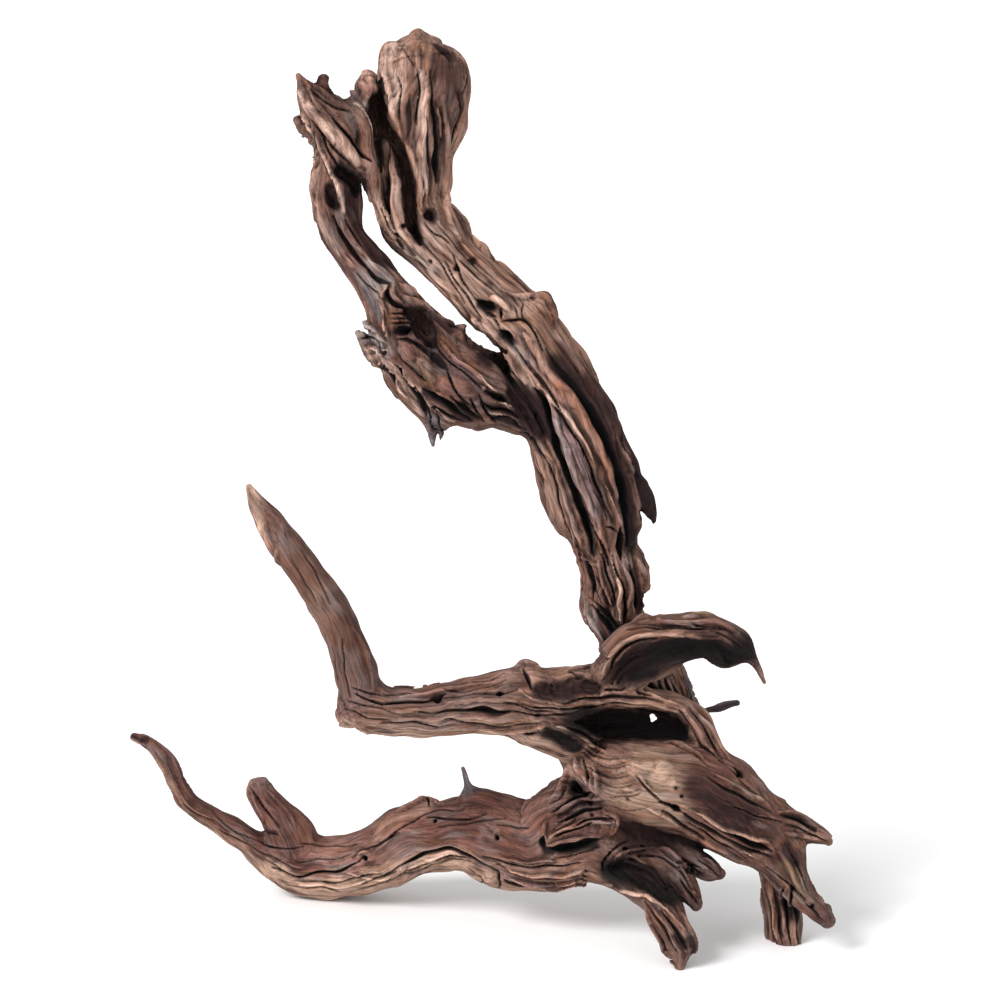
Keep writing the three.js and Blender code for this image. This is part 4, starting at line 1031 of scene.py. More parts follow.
G(0.7, 1.0, "296,862 315,860 335,858 350,855")
G(0.7, 1.2, "350,893 372,886 395,878 420,870 440,863 462,860 480,866")
G(0.7, 1.2, "380,884 400,876 420,866 442,858 462,857 476,862")
G(0.7, 1.2, "288,886 304,888 320,888 340,891")
G(0.7, 1.2, "296,880 315,882 335,883 356,878 380,874")
G(0.7, 1.2, "330,889 352,887 372,880 395,872")
R(1.8, 1.2, "300,884 320,885 345,886 370,880 395,873 420,863 440,856 462,856")
R(2.2, 1.0, "330,866 352,874 376,880 400,872")
knob(490, 877, 8.5, 3.5, on=("low",))
G(1.2, 1.8, "497,872 499,880 498,888")
R(4.5, 1.8, "397,812 410,805 424,800 436,799", k=1.4)
G(1.0, 1.6, "424,798 428,801 430,806")
R(2.2, 1.4, "432,799 438,803 446,806")
R(1.3, 1.6, "480,858 495,865 512,871 530,874 548,875 566,874 582,870 596,868")
G([0.8, 1.3, 1.3, 1.0], 2.2, "484,856 500,862 518,866 540,867 562,866 580,863")
G([0.8, 1.4, 1.4, 1.0], 2.4, "498,866 512,873 530,878 550,879 570,877 586,874")
R(1.3, 1.4, "492,857 510,860 530,861 552,861 574,859")
R([1.4, 2, 2, 1.6], 2.0, "504,874 520,880 538,884 556,883 574,880 590,878", k=0.8)
G([1.5, 2.6, 2.6, 1.4], 3.6, "505,880 518,884 534,887 552,886 566,883", k=0.8)
R(1.2, 1.6, "540,889 558,887 574,884 588,885")
G(1.0, 1.4, "470,868 478,875 484,884")
G(0.8, 1.2, "600,846 588,852 574,856 556,858")
G(1.2, 1.8, "598,866 606,856 616,848 628,842")
# --- thin end and stub
on("low", "stub")
G([0.8, 1.2, 1.2, 0.8], 1.8, "251,789 258,799 265,809 272,819 280,828")
G(1.0, 1.4, "262,830 270,833 278,836")
G(0.8, 1.2, "263,842 275,848 288,850 304,846")
R(1.6, 1.0, "252,792 256,804 262,816 264,828")
R(2.4, 1.0, "268,790 278,802 288,814 296,826")
G(0.6, 0.9, "212,812 224,822 236,832 250,838 264,842")
G(0.6, 0.9, "226,832 238,840 250,846 262,852 276,858")
G(0.6, 0.9, "184,806 192,812 202,817 214,822")
R(1.6, 1.0, "196,814 206,820 216,826 228,832 242,838")
G(0.7, 1.0, "262,856 272,864 282,872 292,878")
G(0.6, 0.9, "268,852 280,862 292,868 306,868")
point([[262, 858, 52, 5, 5], [256, 859, 52, 3, 3], [254, 857, 52, 2, 2]], k=1)
point([[146, 741, 38, 4, 3], [144, 737, 38, 2.6, 2], [142, 735, 38, 1.4, 1.2]], k=0.8)
knob(132, 735, 3.2, 0.6, on=("low",), k=0.8)
on()
# ------------------------------------------------------------------ the side away from the camera
def behind(tube, s, ang):
    """Points on the far side of a limb, s mm along it, ang in radians off straight back."""
    f = np.clip(np.asarray(s, float) / tube.ds, 0, len(tube.C) - 1.001)
    i = f.astype(int)
    fr = (f - i)[:, None]
    row = tube.tab[i] * (1 - fr) + tube.tab[i + 1] * fr
    C, N1, W1, a, b = row[:, :3], row[:, 3:6], row[:, 6:9], row[:, 12:13], row[:, 13:14]
    away = np.sign(W1 @ VIEW)[:, None]
    ca, sa = np.cos(ang)[:, None], np.sin(ang)[:, None]
    P = C + N1 * a * sa + W1 * away * b * ca
    nrm = unit(N1 * sa / a + W1 * away * ca / b)
    for _ in range(4):
        P = P - nrm * np.clip(field(P, 0), -6, 6)[:, None]
    return P, nrm


def far_side(tube, seed, count, wide, high, holes=()):
    rng = np.random.RandomState(seed)
    for j in range(count):
        long_ = rng.uniform(0.16, 0.42) * tube.len
        s0 = rng.uniform(0.02, 0.98) * (tube.len - long_)
        m = max(4, int(long_ / 4))
        s = np.linspace(s0, s0 + long_, m)
        ang = rng.uniform(-1.25, 1.25) + rng.uniform(-0.45, 0.45) * np.linspace(-1, 1, m) + 0.10 * np.sin(np.linspace(0, rng.uniform(4, 9), m))
        P, nrm = behind(tube, s, ang)
        w, h = rng.uniform(0.5, 1.0) * wide, rng.uniform(0.5, 1.0) * high
        strand("g" if j % 5 < 3 else "r", P, nrm, w * (0.5 if j % 5 < 2 else 1.0), h)
    for s0, a0, r, depth in holes:
        P, nrm = behind(tube, np.array([s0]) * tube.len, np.array([a0]))
        n = nrm[0]
        ref = np.array([0.3, 0.2, 1.0]) if abs(n[2]) < 0.9 else np.array([1.0, 0.2, 0.1])
        CUT.append(Tube("pit", np.stack([P[0] + n, P[0] - n * depth]), [r, r * 0.6], [r * 1.3, r * 0.8], deep=np.stack([ref, ref]), step=1.0, reach=3.0, k=1.2, smooth=False))
        ring = np.linspace(0, 2 * np.pi, 9)
        e1 = unit(np.cross(n, ref))
        e2 = np.cross(n, e1)
        Q = P[0] + (r * 1.5) * (np.cos(ring)[:, None] * e1 + np.sin(ring)[:, None] * 1.3 * e2)
        Q = Q - n * np.clip(field(Q, 0), -3, 3)[:, None]
        strand("r", Q, np.repeat(nrm, 9, 0), 3.0, 1.1, taper=0.8)


far_side(trunk, 41, 46, 5.0, 3.4, holes=((0.1, 0.3, 3.0, 5), (0.36, -0.5, 4.0, 6), (0.55, 0.5, 2.4, 4), (0.72, -0.2, 3.2, 5)))
far_side(left, 42, 26, 4.0, 3.0, holes=((0.3, 0.2, 2.2, 4), (0.74, -0.3, 4.5, 7)))
far_side(ball, 43, 16, 4.0, 2.6, holes=((0.45, 0.3, 3.4, 6),))
far_side(mid, 44, 14, 3.0, 2.4, holes=((0.5, -0.2, 2.2, 4),))
far_side(low, 45, 24, 3.0, 2.0, holes=((0.34, 0.2, 2.6, 4), (0.6, -0.4, 1.8, 3)))
far_side(horn, 46, 7, 1.8, 1.2)
# ------------------------------------------------------------------ colours laid on place by place
def strokes(text):
    """Lines of: colour, half width, strength, then the points."""
    for line in text.strip().splitlines():
        c, w, k, p = line.split(None, 3)
        paint(c, float(w), float(k), p)


on("left")
# painted shade: the dark stroke down the shaded right side of the left limb (350,195 to 392,266), the black in the
# burl's hollow (416,316 to 431,340) and the dark in the recess between burl and trunk (482,356 to 510,372)
strokes("""
pale 5 0.75 300,92 311,108 324,123 338,139 351,155 363,171 371,184
white 2.4 0.6 349,105 358,110 363,122 366,140 371,160 376,185 378,205
pale 4 0.6 316,150 318,165 314,190 318,212 326,235 338,252
pale 2.5 0.7 302,114 312,130 324,155 336,185 343,210
umber 6 0.6 306,82 318,86 330,98 345,104
dark 5 0.7 317,80 325,80
brown 7 0.5 330,110 345,124 358,140
dark 8 0.85 350,195 354,215 362,235 376,252 392,266
pink 6 0.6 353,262 364,268
grey 9 0.8 362,278 374,288 382,300
grey 5 0.7 369,262 380,270 390,281
slate 5 0.7 364,292 374,304 380,314
pink 9 0.5 364,78 366,88
olive 4 0.7 374,84 375,87
slate 4 0.7 353,96 356,103
tan 5 0.85 384,292 386,310 388,332
rust 8 0.6 396,314 401,325
black 11 0.9 416,316 424,325 431,340
dark 5 0.9 396,332 408,331
red 9 0.7 404,344 408,358
olive 8 0.5 420,362 428,376
red 9 0.6 444,385 455,398
slate 7 0.8 434,354 444,366
rust 4 0.7 436,338 450,356 470,372 488,388
lilac 14 0.7 455,365 468,385 480,400
grey 6 0.8 366,325 376,340 388,352
pale 3.4 0.8 375,348 392,362 404,380 415,390
pale 3.4 0.8 380,363 396,382 412,400
pale 4 0.7 420,392 436,410 452,419
slate 10 0.9 432,418 436,430 436,442
umber 12 0.7 488,395 500,405 512,418
pale 1.6 0.8 478,376 498,395 517,414
pale 1.5 0.7 484,410 500,414 518,424
pale 1.5 0.7 482,388 500,401 518,418
dark 6 0.7 436,318 450,328 466,336 470,346
dark 8 0.8 482,356 500,362 510,372
""")
on("trunk")
# painted shade: the umber on the head's shaded right facet (448,66 and 463,70), the dark at its shadowed top-right
# piece (438,48), the brown and umber in the soft hollow (409,100), the black and dark down the hollow and valley of the
# column (377,100 to 417,240), the black in the deep slots (480,304 and 503,334), the dark in the recess by the burl
# (500,368), the black along the deep groove (540,395 to 594,552), the dark, black and umber in the channel and on the
# shaded right side (583,400 to 652,515), the dark and black in the lower grooves (633,572 and 598,612) and the slate on
# the rear trunk's shaded right edge (684,664)
strokes("""
pale 12 0.7 392,50 394,75 394,100
tan 10 0.5 410,45 416,80
pale 5 0.7 421,75 422,110 421,150 423,190
umber 16 0.85 448,66 450,90 448,112
umber 7 0.6 463,70 463,95 460,115
dark 4 0.9 438,48 448,56
brown 7 0.7 409,100 408,120 406,136
umber 6 0.7 410,98 410,114 409,128 407,140
rust 5 0.5 404,150 411,170 417,190 421,210
black 9 0.95 377,100 379,118 380,132
dark 7 0.9 386,130 394,142 400,156
umber 6 0.8 392,140 400,156 404,172
black 6 0.9 405,172 409,195 412,220 417,240
tan 12 0.5 388,150 390,185 393,220
pale 6 0.6 394,190 396,215 400,235
brown 10 0.6 441,130 444,170 442,200
pale 22 0.45 430,250 455,270 480,290 505,310
grey 9 0.5 400,250 418,260 432,270
rust 8 0.5 465,245 490,268 515,285
rust 12 0.8 540,300 546,315
rust 4 0.7 505,322 515,320 528,321
black 5 0.9 480,304 492,309
black 5 0.9 503,334 511,341
tan 8 0.7 470,320 490,332 508,352 528,380
brown 14 0.6 545,325 560,350
umber 9 0.8 558,350 575,375 590,400
dark 13 0.85 500,368 515,388 530,408 543,428
black 4 0.9 540,395 550,425 560,455 575,490 588,525 594,552
lilac 13 0.8 562,425 572,450 585,480 596,505
grey 4 0.6 558,415 564,445 576,478 592,508
pale 2.8 0.8 548,395 565,413 580,437
tan 2.4 0.7 580,437 594,465 608,495 618,520
brown 8 0.6 560,385 580,415 597,445 610,480
dark 6 0.7 583,400 600,430
black 8 0.85 606,446 614,466 624,490 630,520 631,548
black 9 0.9 632,462 641,486 647,508
umber 7 0.7 606,400 618,430 628,460 642,492 652,515
tan 9 0.7 537,450 547,485 560,515
pale 3 0.5 613,555 619,590 620,618
dark 5 0.75 633,572 637,592 637,612
grey 6 0.75 590,615 600,632 610,645
black 4 0.85 598,612 610,626 618,636
umber 6 0.5 595,575 603,598
tan 3 0.7 657,672 663,688 669,702
tan 3 0.7 668,670 674,688 680,702
slate 4 0.95 684,664 688,682 692,702
""")
on("trunk")
# painted shade: the dark and umber in the channel and on the shaded right side (556,362, 562,345, 585,365, 590,384 and
# 611,392), the dark in the recess by the burl (506,372), the umber in the hollow (520,420), the black in the hollow
# (646,516) and the slate on the rear trunk's shaded right edge (688,668); painted light: the pale strokes that lift the
# rear trunk where it lies in the claw's shadow (657,668 and 668,668)
strokes("""
dark 9 0.85 556,362 575,385 596,414 610,445 622,480 628,510
umber 9 0.8 585,365 606,400 622,435 636,468 648,500
umber 5 0.8 562,345 580,365 596,384
dark 12 0.9 506,372 520,388 532,404 544,424
umber 9 0.7 520,420 532,434 540,446
brown 7 0.5 520,335 536,355 552,375
pink 4 0.6 528,362 545,385 562,402
rust 7 0.6 560,385 582,412 600,445 612,475
pale 7 0.5 476,322 490,332 504,346
grey 5 0.6 513,345 518,352 526,362
pale 5 0.6 508,362 518,372 530,384
umber 9 0.8 540,300 547,306 552,316
olive 6 0.5 535,330 545,345 555,355
black 4 0.9 646,516 650,530 650,540
pale 6 0.8 657,668 662,682 668,696 672,706
pale 4 0.7 668,668 672,682 677,696
slate 3 0.9 688,668 691,684 694,700
dark 13 0.8 590,384 612,416 630,452 644,486 654,516
dark 4 0.8 611,392 622,420 632,450
""")
on("trunk")
# painted shade: the umber on the head's shaded right facet (440,52), the dark along the shadowed crease at the top
# right (436,46), the umber and dark in the slits (433,60, 455,93 and 433,104) and the dark in the pit (430,214)
strokes("""
rust 8 0.5 412,36 418,42 424,48
umber 13 0.6 440,52 446,64 450,78
umber 5 0.7 433,60 434,80 434,100
tan 3 0.7 460,58 466,70 467,84
dark 2.4 0.7 436,46 444,52 449,58
pink 4 0.5 388,50 387,58 388,70
pale 7 0.8 391,50 396,64 399,80 400,96
brown 4 0.6 382,52 381,60 383,68
brown 9 0.5 404,60 408,74 410,88
dark 4 0.6 455,93 458,108 454,126
dark 3.4 0.8 433,104 435,120 437,140 438,160 438,180
umber 6 0.6 444,140 448,165 449,190
tan 3 0.7 444,185 444,200 448,214
dark 5 0.8 430,214 433,218
""")
on("left")
# painted shade: the black and the umber and dark in the two hollows (340,170 and 329,188)
strokes("""
umber 9 0.75 310,84 322,90 334,99 344,104
dark 5 0.7 312,82 324,84 330,92
brown 8 0.6 342,112 352,128 360,146
umber 3 0.7 350,122 358,140 366,160
black 8 0.9 340,170 348,177 356,187
umber 6 0.85 329,188 333,198 337,206
dark 4 0.6 330,190 334,200
white 2.4 0.7 360,106 364,122 366,140 370,158 374,176
umber 4 0.6 305,135 310,150 314,165
""")
on("left")
# painted shade: the black and dark in the recess between burl and trunk (494,356 to 520,386), in the lens-shaped gaps
# between strands (425,393 to 470,420) and along the grooves of the swirl and the lower left (482,392 to 524,430 and
# 382,364 to 425,412)
strokes("""
black 6 0.9 500,360 510,372 520,386
dark 6 0.8 494,356 504,364
umber 10 0.7 452,396 470,406 484,412
dark 5 0.9 425,393 440,401 456,410 470,420
dark 3.4 0.9 486,392 496,396 506,400
dark 2.6 0.9 482,404 498,408 518,415
dark 2.2 0.9 494,418 508,421 524,430
umber 4 0.8 440,358 456,374 474,394 488,410
brown 9 0.6 405,345 412,360
rust 7 0.5 446,345 462,358 478,370
umber 7 0.8 445,325 456,332 464,338
pale 2.4 0.8 360,336 372,350 386,362 396,378 404,390
dark 2.2 0.9 382,364 390,374 397,388
dark 2.0 0.9 402,378 411,390 419,400 425,412
pale 1.6 0.7 396,370 405,382 414,392 422,403
pale 3 0.8 404,396 414,404 420,416
slate 5 0.8 366,290 374,304 380,316
grey 5 0.7 368,322 378,336 386,346
""")
on("claw", "clawback")
# painted shade: the black under the claw along the wall behind it (628,665 to 742,653) and the dark and black inside
# the claw's root (620,680 and 632,676)
strokes("""
umber 12 0.85 640,622 670,622 700,620 728,628 744,642
brown 4 0.5 640,622 670,624 700,622 730,628
olive 5 0.6 686,617 700,615 714,619
tan 2.6 0.75 601,676 612,654 632,640 660,633 700,636
black 15 1.0 628,665 650,657 680,650 706,647 728,652 742,653
dark 6 0.75 620,680 628,668 640,658
black 6 0.9 632,676 642,672 652,672
umber 4 0.6 735,636 747,650 757,670
""")
on("lid", "mid", "ball", "ballback", "trunk")
# painted shade: the dark and umber in the saddle's dip (540,690 and 552,684), the black inside the eye hole (582,722 to
# 680,735) and in the second hollow (548,735); painted highlight: the grey stroke on the saddle (550,680)
strokes("""
tan 8 0.7 560,700 600,692 640,695 675,706
olive 2.6 0.7 580,707 620,703 660,707
dark 9 0.8 540,690 556,693 572,692
tan 4 0.6 532,680 540,677 546,680
umber 12 0.85 552,684 568,686 588,688
grey 2.6 0.7 550,680 560,691
black 17 1.0 582,722 610,724 640,726 664,730 680,735
black 8 0.95 548,735 562,740 576,748
red 6 0.5 690,715 702,735 712,752
""")
on("mid", "horn")
# painted light: the belly stroke along the middle branch's lower edge (400,732 to 545,746)
strokes("""
belly 7 0.7 400,732 440,734 480,731 520,738 545,746
pink 6 0.35 400,695 440,690 480,682 505,675
umber 4 0.6 515,668 524,680
belly 4.5 0.95 249,490 254,506 259,524 262,534
tan 4 0.8 265,536 270,550
red 10 0.4 262,510 285,545
umber 8 0.6 340,595 352,620 366,645 374,668
lilac 14 0.4 350,702 366,690
""")
on("ball", "ballback", "ballunder", "low", "mid", "lid")
# painted shade: the black under the folded lobes (545,850), the black in the hole (576,788) and the dark on the
# recessed mass under the hub (628,836)
strokes("""
boss 24 0.9 650,766 667,782
boss 16 0.75 622,794 645,808 665,818
tan 14 0.5 616,766 630,775
umber 22 0.95 714,795 736,812 764,828
dark 15 0.7 700,788 718,800 744,818
umber 13 0.85 694,774 724,792
red 12 0.5 705,755 725,775 750,790
olive 6 0.5 735,785 755,797
tan 2.6 0.9 668,801 700,815 734,832 768,842
tan 2.6 0.7 690,820 720,836 752,854
tan 4 0.7 650,815 680,830 710,846 740,862 760,875
umber 12 0.7 555,820 575,808 595,802
tan 5 0.6 550,840 565,832
black 5 0.85 545,850 570,850 595,845
black 8 0.95 576,788 580,790
pink 5 0.5 571,762 573,775
dark 14 0.9 628,836 650,834 668,840
tan 3 0.6 674,832 680,846
""")
on("leg", "ftoe", "fprong", "low", "ball", "ballunder")
# painted shade: the black in the hollow under the front leg's arch (612,872 to 668,893)
strokes("""
black 15 1.0 612,872 635,872 655,880 668,893
tan 5 0.6 606,885 640,894 665,908
belly 2.2 0.6 606,885 640,894 665,908
brown 6 0.5 650,915 665,940
dark 3 0.8 674,935 684,948
umber 8 0.6 640,850 670,862 690,885
black 5 0.7 690,940 694,950
umber 9 0.6 700,862 715,873
""")
on("btwig")
strokes("""
slate 6 0.9 700,712 722,706 738,703
dark 3 0.6 706,711 722,707 738,704
""")
on("toe", "prong", "foot", "ball")
# painted shade: the black and dark strokes along the grooves of the toe and foot (783,815, 788,845, 778,892 and
# 790,903)
strokes("""
olive 10 0.5 785,870 800,890
umber 8 0.8 815,912 826,922
black 7 0.95 790,903 796,916
tan 3 0.7 771,895 776,935
dark 2.4 0.8 778,892 782,935
tan 3 0.7 786,920 792,940
tan 2.6 0.8 760,875 780,890 800,908
tan 4 0.5 795,834 818,838
dark 3 0.8 783,815 800,820 815,830
dark 5 0.7 788,845 795,862
""")
on("low", "stub", "ball")
# painted light: the belly stroke along the low root's underside (268,870 to 465,860); painted shade: the black along
# the groove (508,882 to 560,884)
strokes("""
pink 18 0.3 320,852 350,850
tan 12 0.5 380,828 400,815 425,806
belly 10 0.9 268,870 300,885 340,887 380,878 410,866 440,858 465,860
belly 9 0.8 487,876 491,879
tan 7 0.8 500,866 530,873 565,872 595,868
black 3.4 0.9 508,882 530,886 560,884
umber 5 0.6 430,815 460,820 490,822
dark 3 0.8 264,829 276,833
umber 3 0.6 252,792 264,812
olive 4 0.6 498,834 500,836
dark 3 0.8 141,740 146,741
dark 2 0.8 131,735 136,738
tan 4 0.5 200,820 225,836 245,848
""")
on()
log(f"traced {len(ADD)} ridges, {len(SLIT)} grooves and {len(CUT)} hollows")

# ------------------------------------------------------------------ surface
VOX = 0.85
MARGIN = 8.0
lo = np.min([t.C.min(0) - t.r.max() for t in LIMBS + ADD], axis=0) - MARGIN
hi = np.max([t.C.max(0) + t.r.max() for t in LIMBS + ADD], axis=0) + MARGIN
SUP, SUB = 32, 4
dims = (np.ceil((hi - lo) / VOX / SUP).astype(int)) * SUP
BG = F(3 * VOX)
grid = np.full(tuple(dims), BG, F)
log(f"grid {dims} limbs {len(LIMBS)} add {len(ADD)} cut {len(CUT)}")


def centres(base, counts, size):
    ax = [base[k] + (np.arange(counts[k]) + 0.5) * size for k in range(3)]
    return np.stack(np.meshgrid(*ax, indexing="ij"), -1).reshape(-1, 3)


def do_block(b):
    o = np.array(b) * SUP
    base = lo + o * VOX
    m = SUP // SUB
    c = centres(base, (m, m, m), SUB * VOX) - VOX * 0.5
    d = field(c, 1)
    half = SUB * VOX * 0.866
    act = np.abs(d) < half * 1.35 + 3.4
    sgn = np.where(d < 0, -BG, BG).astype(F).reshape(m, m, m)
    blk = np.repeat(np.repeat(np.repeat(sgn, SUB, 0), SUB, 1), SUB, 2)
    if act.any():
        a = np.argwhere(act.reshape(m, m, m)) * SUB
        off = np.stack(np.meshgrid(*[np.arange(SUB)] * 3, indexing="ij"), -1).reshape(-1, 3)
        ijk = (a[:, None, :] + off[None]).reshape(-1, 3)
        P = (base + ijk * VOX).astype(F)
        v = field(P, 2)
        blk[ijk[:, 0], ijk[:, 1], ijk[:, 2]] = np.clip(v, -BG, BG)
    grid[o[0]:o[0] + SUP, o[1]:o[1] + SUP, o[2]:o[2] + SUP] = blk


nb = dims // SUP
rough = centres(lo, nb, SUP * VOX)
d0 = np.concatenate([field(rough[i:i + 400], 0) for i in range(0, len(rough), 400)])
live = np.argwhere((d0 < SUP * VOX * 0.9 + 12).reshape(tuple(nb)))
log(f"{len(live)} of {len(rough)} blocks")
with ThreadPoolExecutor(4) as pool:
    list(pool.map(do_block, live))
log("field done")
g = vdb.FloatGrid(float(BG))
g.copyFromArray(grid)
verts, quads = g.convertToQuads(0.0)
verts = verts.astype(np.float64) * VOX + lo
log(f"{len(verts)} vertices {len(quads)} quads")


def chunks(n, size=30000):
    return [slice(i, min(i + size, n)) for i in range(0, n, size)]


def order_by_place(P, cell=24.0):
    k = np.floor((P - P.min(0)) / cell).astype(np.int64)
    return np.argsort(k[:, 0] * 1000000 + k[:, 1] * 1000 + k[:, 2], kind="stable")


def par_field(P, **kw):
    """field() over many points, near ones together."""
    od = order_by_place(P)
    Q = P[od]
    sl = chunks(len(Q), 8000)
    with ThreadPoolExecutor(4) as pool:
        res = list(pool.map(lambda s: field(Q[s], **kw), sl))
    if isinstance(res[0], tuple):
        cols = []
        for c in range(len(res[0])):
            x = np.concatenate([r[c] for r in res])
            y = np.empty_like(x)
            y[od] = x
            cols.append(y)
        return cols
    x = np.concatenate(res)
    y = np.empty_like(x)
    y[od] = x
    return y


def quad_normals(V, Q):
    a, b = V[Q[:, 2]] - V[Q[:, 0]], V[Q[:, 3]] - V[Q[:, 1]]
    fn = np.cross(a, b)
    n = np.zeros_like(V)
    for c in range(4):
        for k in range(3):
            n[:, k] += np.bincount(Q[:, c], fn[:, k], len(V))
    return unit(n)


# keep the biggest connected body
def components(nv, Q):
    """The number of the connected body that each vertex belongs to."""
    return linked(nv, np.concatenate([Q[:, 0], Q[:, 1], Q[:, 2]]), np.concatenate([Q[:, 1], Q[:, 2], Q[:, 3]]))


def linked(nv, a, b):
    lab = np.arange(nv)
    while True:
        la, lb = lab[a], lab[b]
        m = la != lb
        if not m.any():
            return lab
        np.minimum.at(lab, np.maximum(la, lb)[m], np.minimum(la, lb)[m])
        while True:
            up = lab[lab]
            if (up == lab).all():
                break
            lab = up


lab = components(len(verts), quads)
kinds, size = np.unique(lab, return_counts=True)
log(f"bodies {sorted(size.tolist())[::-1][:8]}")
lab = np.isin(lab, kinds[size > 0.02 * len(verts)])
quads = quads[lab[quads[:, 0]]]
N = quad_normals(verts, quads)
if (N * (verts - verts.mean(0))).sum() < 0:
    quads = quads[:, ::-1]
    N = -N
# put the vertices exactly on the surface
for _ in range(1):
    e = 0.35
    f0 = par_field(verts, level=2)
    f1 = par_field(verts + N * e, level=2)
    slope = np.clip((f1 - f0) / e, 0.35, 1.6)
    verts = verts - N * np.clip(f0 / slope, -0.45 * VOX, 0.45 * VOX)[:, None]
N = quad_normals(verts, quads)
log("projected")

d, bare, label, pos = par_field(verts, level=2, want=True)
log("attributes")
relief = bare.astype(float)

# openness: how much air there is just above the surface
open_ = np.zeros(len(verts))
for hgt, wt in ((2.5, 0.35), (6.0, 0.35), (12.0, 0.3)):
    a = par_field(verts + N * hgt, level=1)
    open_ += wt * np.clip(a / hgt, 0, 1)
log("openness")

LIMB_NAMES = [t.name for t in LIMBS]
ARC = {t.name: t for t in LIMBS}


def arc_at(tube, i, n_st):
    return tube.s[-1] * i / (n_st - 1)


# ------------------------------------------------------------------ pieces
def station_arc(tube, g):
    p, _ = place([g])
    k = np.argmin(((tube.C - p[0]) ** 2).sum(1))
    return tube.s[k]


TR = [("crown_knob", [430, 237, 16]), ("trunk_upper", [547, 372, 12]), ("trunk_lower", [617, 620, 16]), ("trunk_foot", None)]
LF = [("crown_wing", [338, 187, 12]), ("left_limb", [386, 292, 6]), ("burl", None)]
LW = [("low_root", [262, 850, 55]), ("low_root_tip", None)]
piece_names = []
piece_of = np.zeros(len(verts), np.int32)


def pid(name):
    if name not in piece_names:
        piece_names.append(name)
    return piece_names.index(name)


SIMPLE = {"ball": "root_ball", "ballback": "root_ball", "ballunder": "root_ball", "lid": "root_lid", "mid": "mid_root",
          "horn": "horn", "clawback": "claw_root", "stub": "low_root_stub", "twig": "low_root_twig", "claw": "claw_root", "prong": "right_prong",
          "toe": "right_toe", "foot": "sawn_foot", "leg": "front_leg", "ftoe": "front_toe", "fprong": "front_prong",
          "btwig": "back_twig"}
for li, nm in enumerate(LIMB_NAMES):
    m = label == li
    if nm in SIMPLE:
        piece_of[m] = pid(SIMPLE[nm])
    else:
        s = pos[:, 2]
        prev = -1e9
        for pn, stn in {"trunk": TR, "left": LF, "low": LW}[nm]:
            nxt = station_arc(ARC[nm], stn) if stn else 1e9
            piece_of[m & (s >= prev) & (s < nxt)] = pid(pn)
            prev = nxt

EA = np.concatenate([quads[:, 0], quads[:, 1], quads[:, 2], quads[:, 3]])
EB = np.concatenate([quads[:, 1], quads[:, 2], quads[:, 3], quads[:, 0]])
for _ in range(3):
    same = piece_of[EA] == piece_of[EB]
    lab = linked(len(verts), EA[same], EB[same])
    size = np.bincount(lab, minlength=len(verts))
    main = np.zeros(len(piece_names), np.int64)
    np.maximum.at(main, piece_of, size[lab])
    lone = (size[lab] < 2500) & (size[lab] < main[piece_of])
    log(f"{int(lone.sum())} vertices in islands")
    if not lone.any():
        break
    piece_of[lone] = -1
    for _ in range(200):
        m = (piece_of[EA] < 0) & (piece_of[EB] >= 0)
        if not m.any():
            break
        piece_of[EA[m]] = piece_of[EB[m]]
    piece_of[piece_of < 0] = 0

SLOT = {m["node"]: m["material_slot"] for m in frame["record"]["subparts"]}

# ------------------------------------------------------------------ colour
def lin(r, g, b):
    c = np.array([r, g, b], float) / 255
    return np.where(c <= 0.04045, c / 12.92, ((c + 0.055) / 1.055) ** 2.4)


PAL = {
    "white": lin(196, 178, 167), "pale": lin(172, 142, 128), "tan": lin(139, 107, 92), "olive": lin(112, 92, 72),
    "brown": lin(99, 70, 60), "rust": lin(112, 72, 52), "red": lin(94, 61, 54), "umber": lin(66, 43, 38),
    "dark": lin(42, 27, 27), "black": lin(22, 15, 16), "grey": lin(124, 113, 110), "slate": lin(84, 76, 80),
    "lilac": lin(105, 86, 88), "pink": lin(150, 112, 103), "belly": lin(172, 140, 121), "boss": lin(146, 119, 102)}
HUE = {"trunk": "tan", "left": "brown", "ball": "brown", "ballback": "umber", "ballunder": "umber", "lid": "tan", "mid": "brown",
       "horn": "brown", "low": "red", "stub": "red", "twig": "slate", "claw": "brown", "clawback": "dark", "prong": "brown",
       "toe": "umber", "foot": "brown", "leg": "brown", "ftoe": "umber", "fprong": "umber", "btwig": "slate"}
gx, gy, gs = pos[:, 0].astype(F), pos[:, 1].astype(F), pos[:, 2].astype(F)
WP = warp(verts.astype(F))


BYX = np.argsort(WP[:, 0], kind="stable")
XS = WP[BYX, 0]


def inside(t):
    """The vertices within a tube's box."""
    i0, i1 = np.searchsorted(XS, [t.lo[0], t.hi[0]])
    c = BYX[i0:i1]
    q = WP[c]
    return np.sort(c[(q[:, 1] > t.lo[1]) & (q[:, 1] < t.hi[1]) & (q[:, 2] > t.lo[2]) & (q[:, 2] < t.hi[2])])


def streak(lam, st, seed):
    return perlin(gx / F(lam) + F(seed), gy / F(lam), gs / F(lam * st)).astype(float)


def blotch(lam, seed):
    return perlin((verts[:, 0] / lam + seed).astype(F), (verts[:, 1] / lam).astype(F), (verts[:, 2] / lam).astype(F)).astype(float)


def mix(c, target, w):
    w = np.clip(w, 0, 1)[:, None]
    return c * (1 - w) + target * w


def spread(x, q, n):
    """Average a value over the neighbours n times."""
    e0 = np.concatenate([q[:, 0], q[:, 1], q[:, 2], q[:, 3]])
    e1 = np.concatenate([q[:, 1], q[:, 2], q[:, 3], q[:, 0]])
    cnt = np.bincount(e0, minlength=len(x)) + 1e-9
    one = x.ndim == 1
    y = x[:, None] if one else x
    for _ in range(n):
        y = np.stack([np.bincount(e0, y[e1, k], len(x)) / cnt for k in range(y.shape[1])], 1)
    return y[:, 0] if one else y


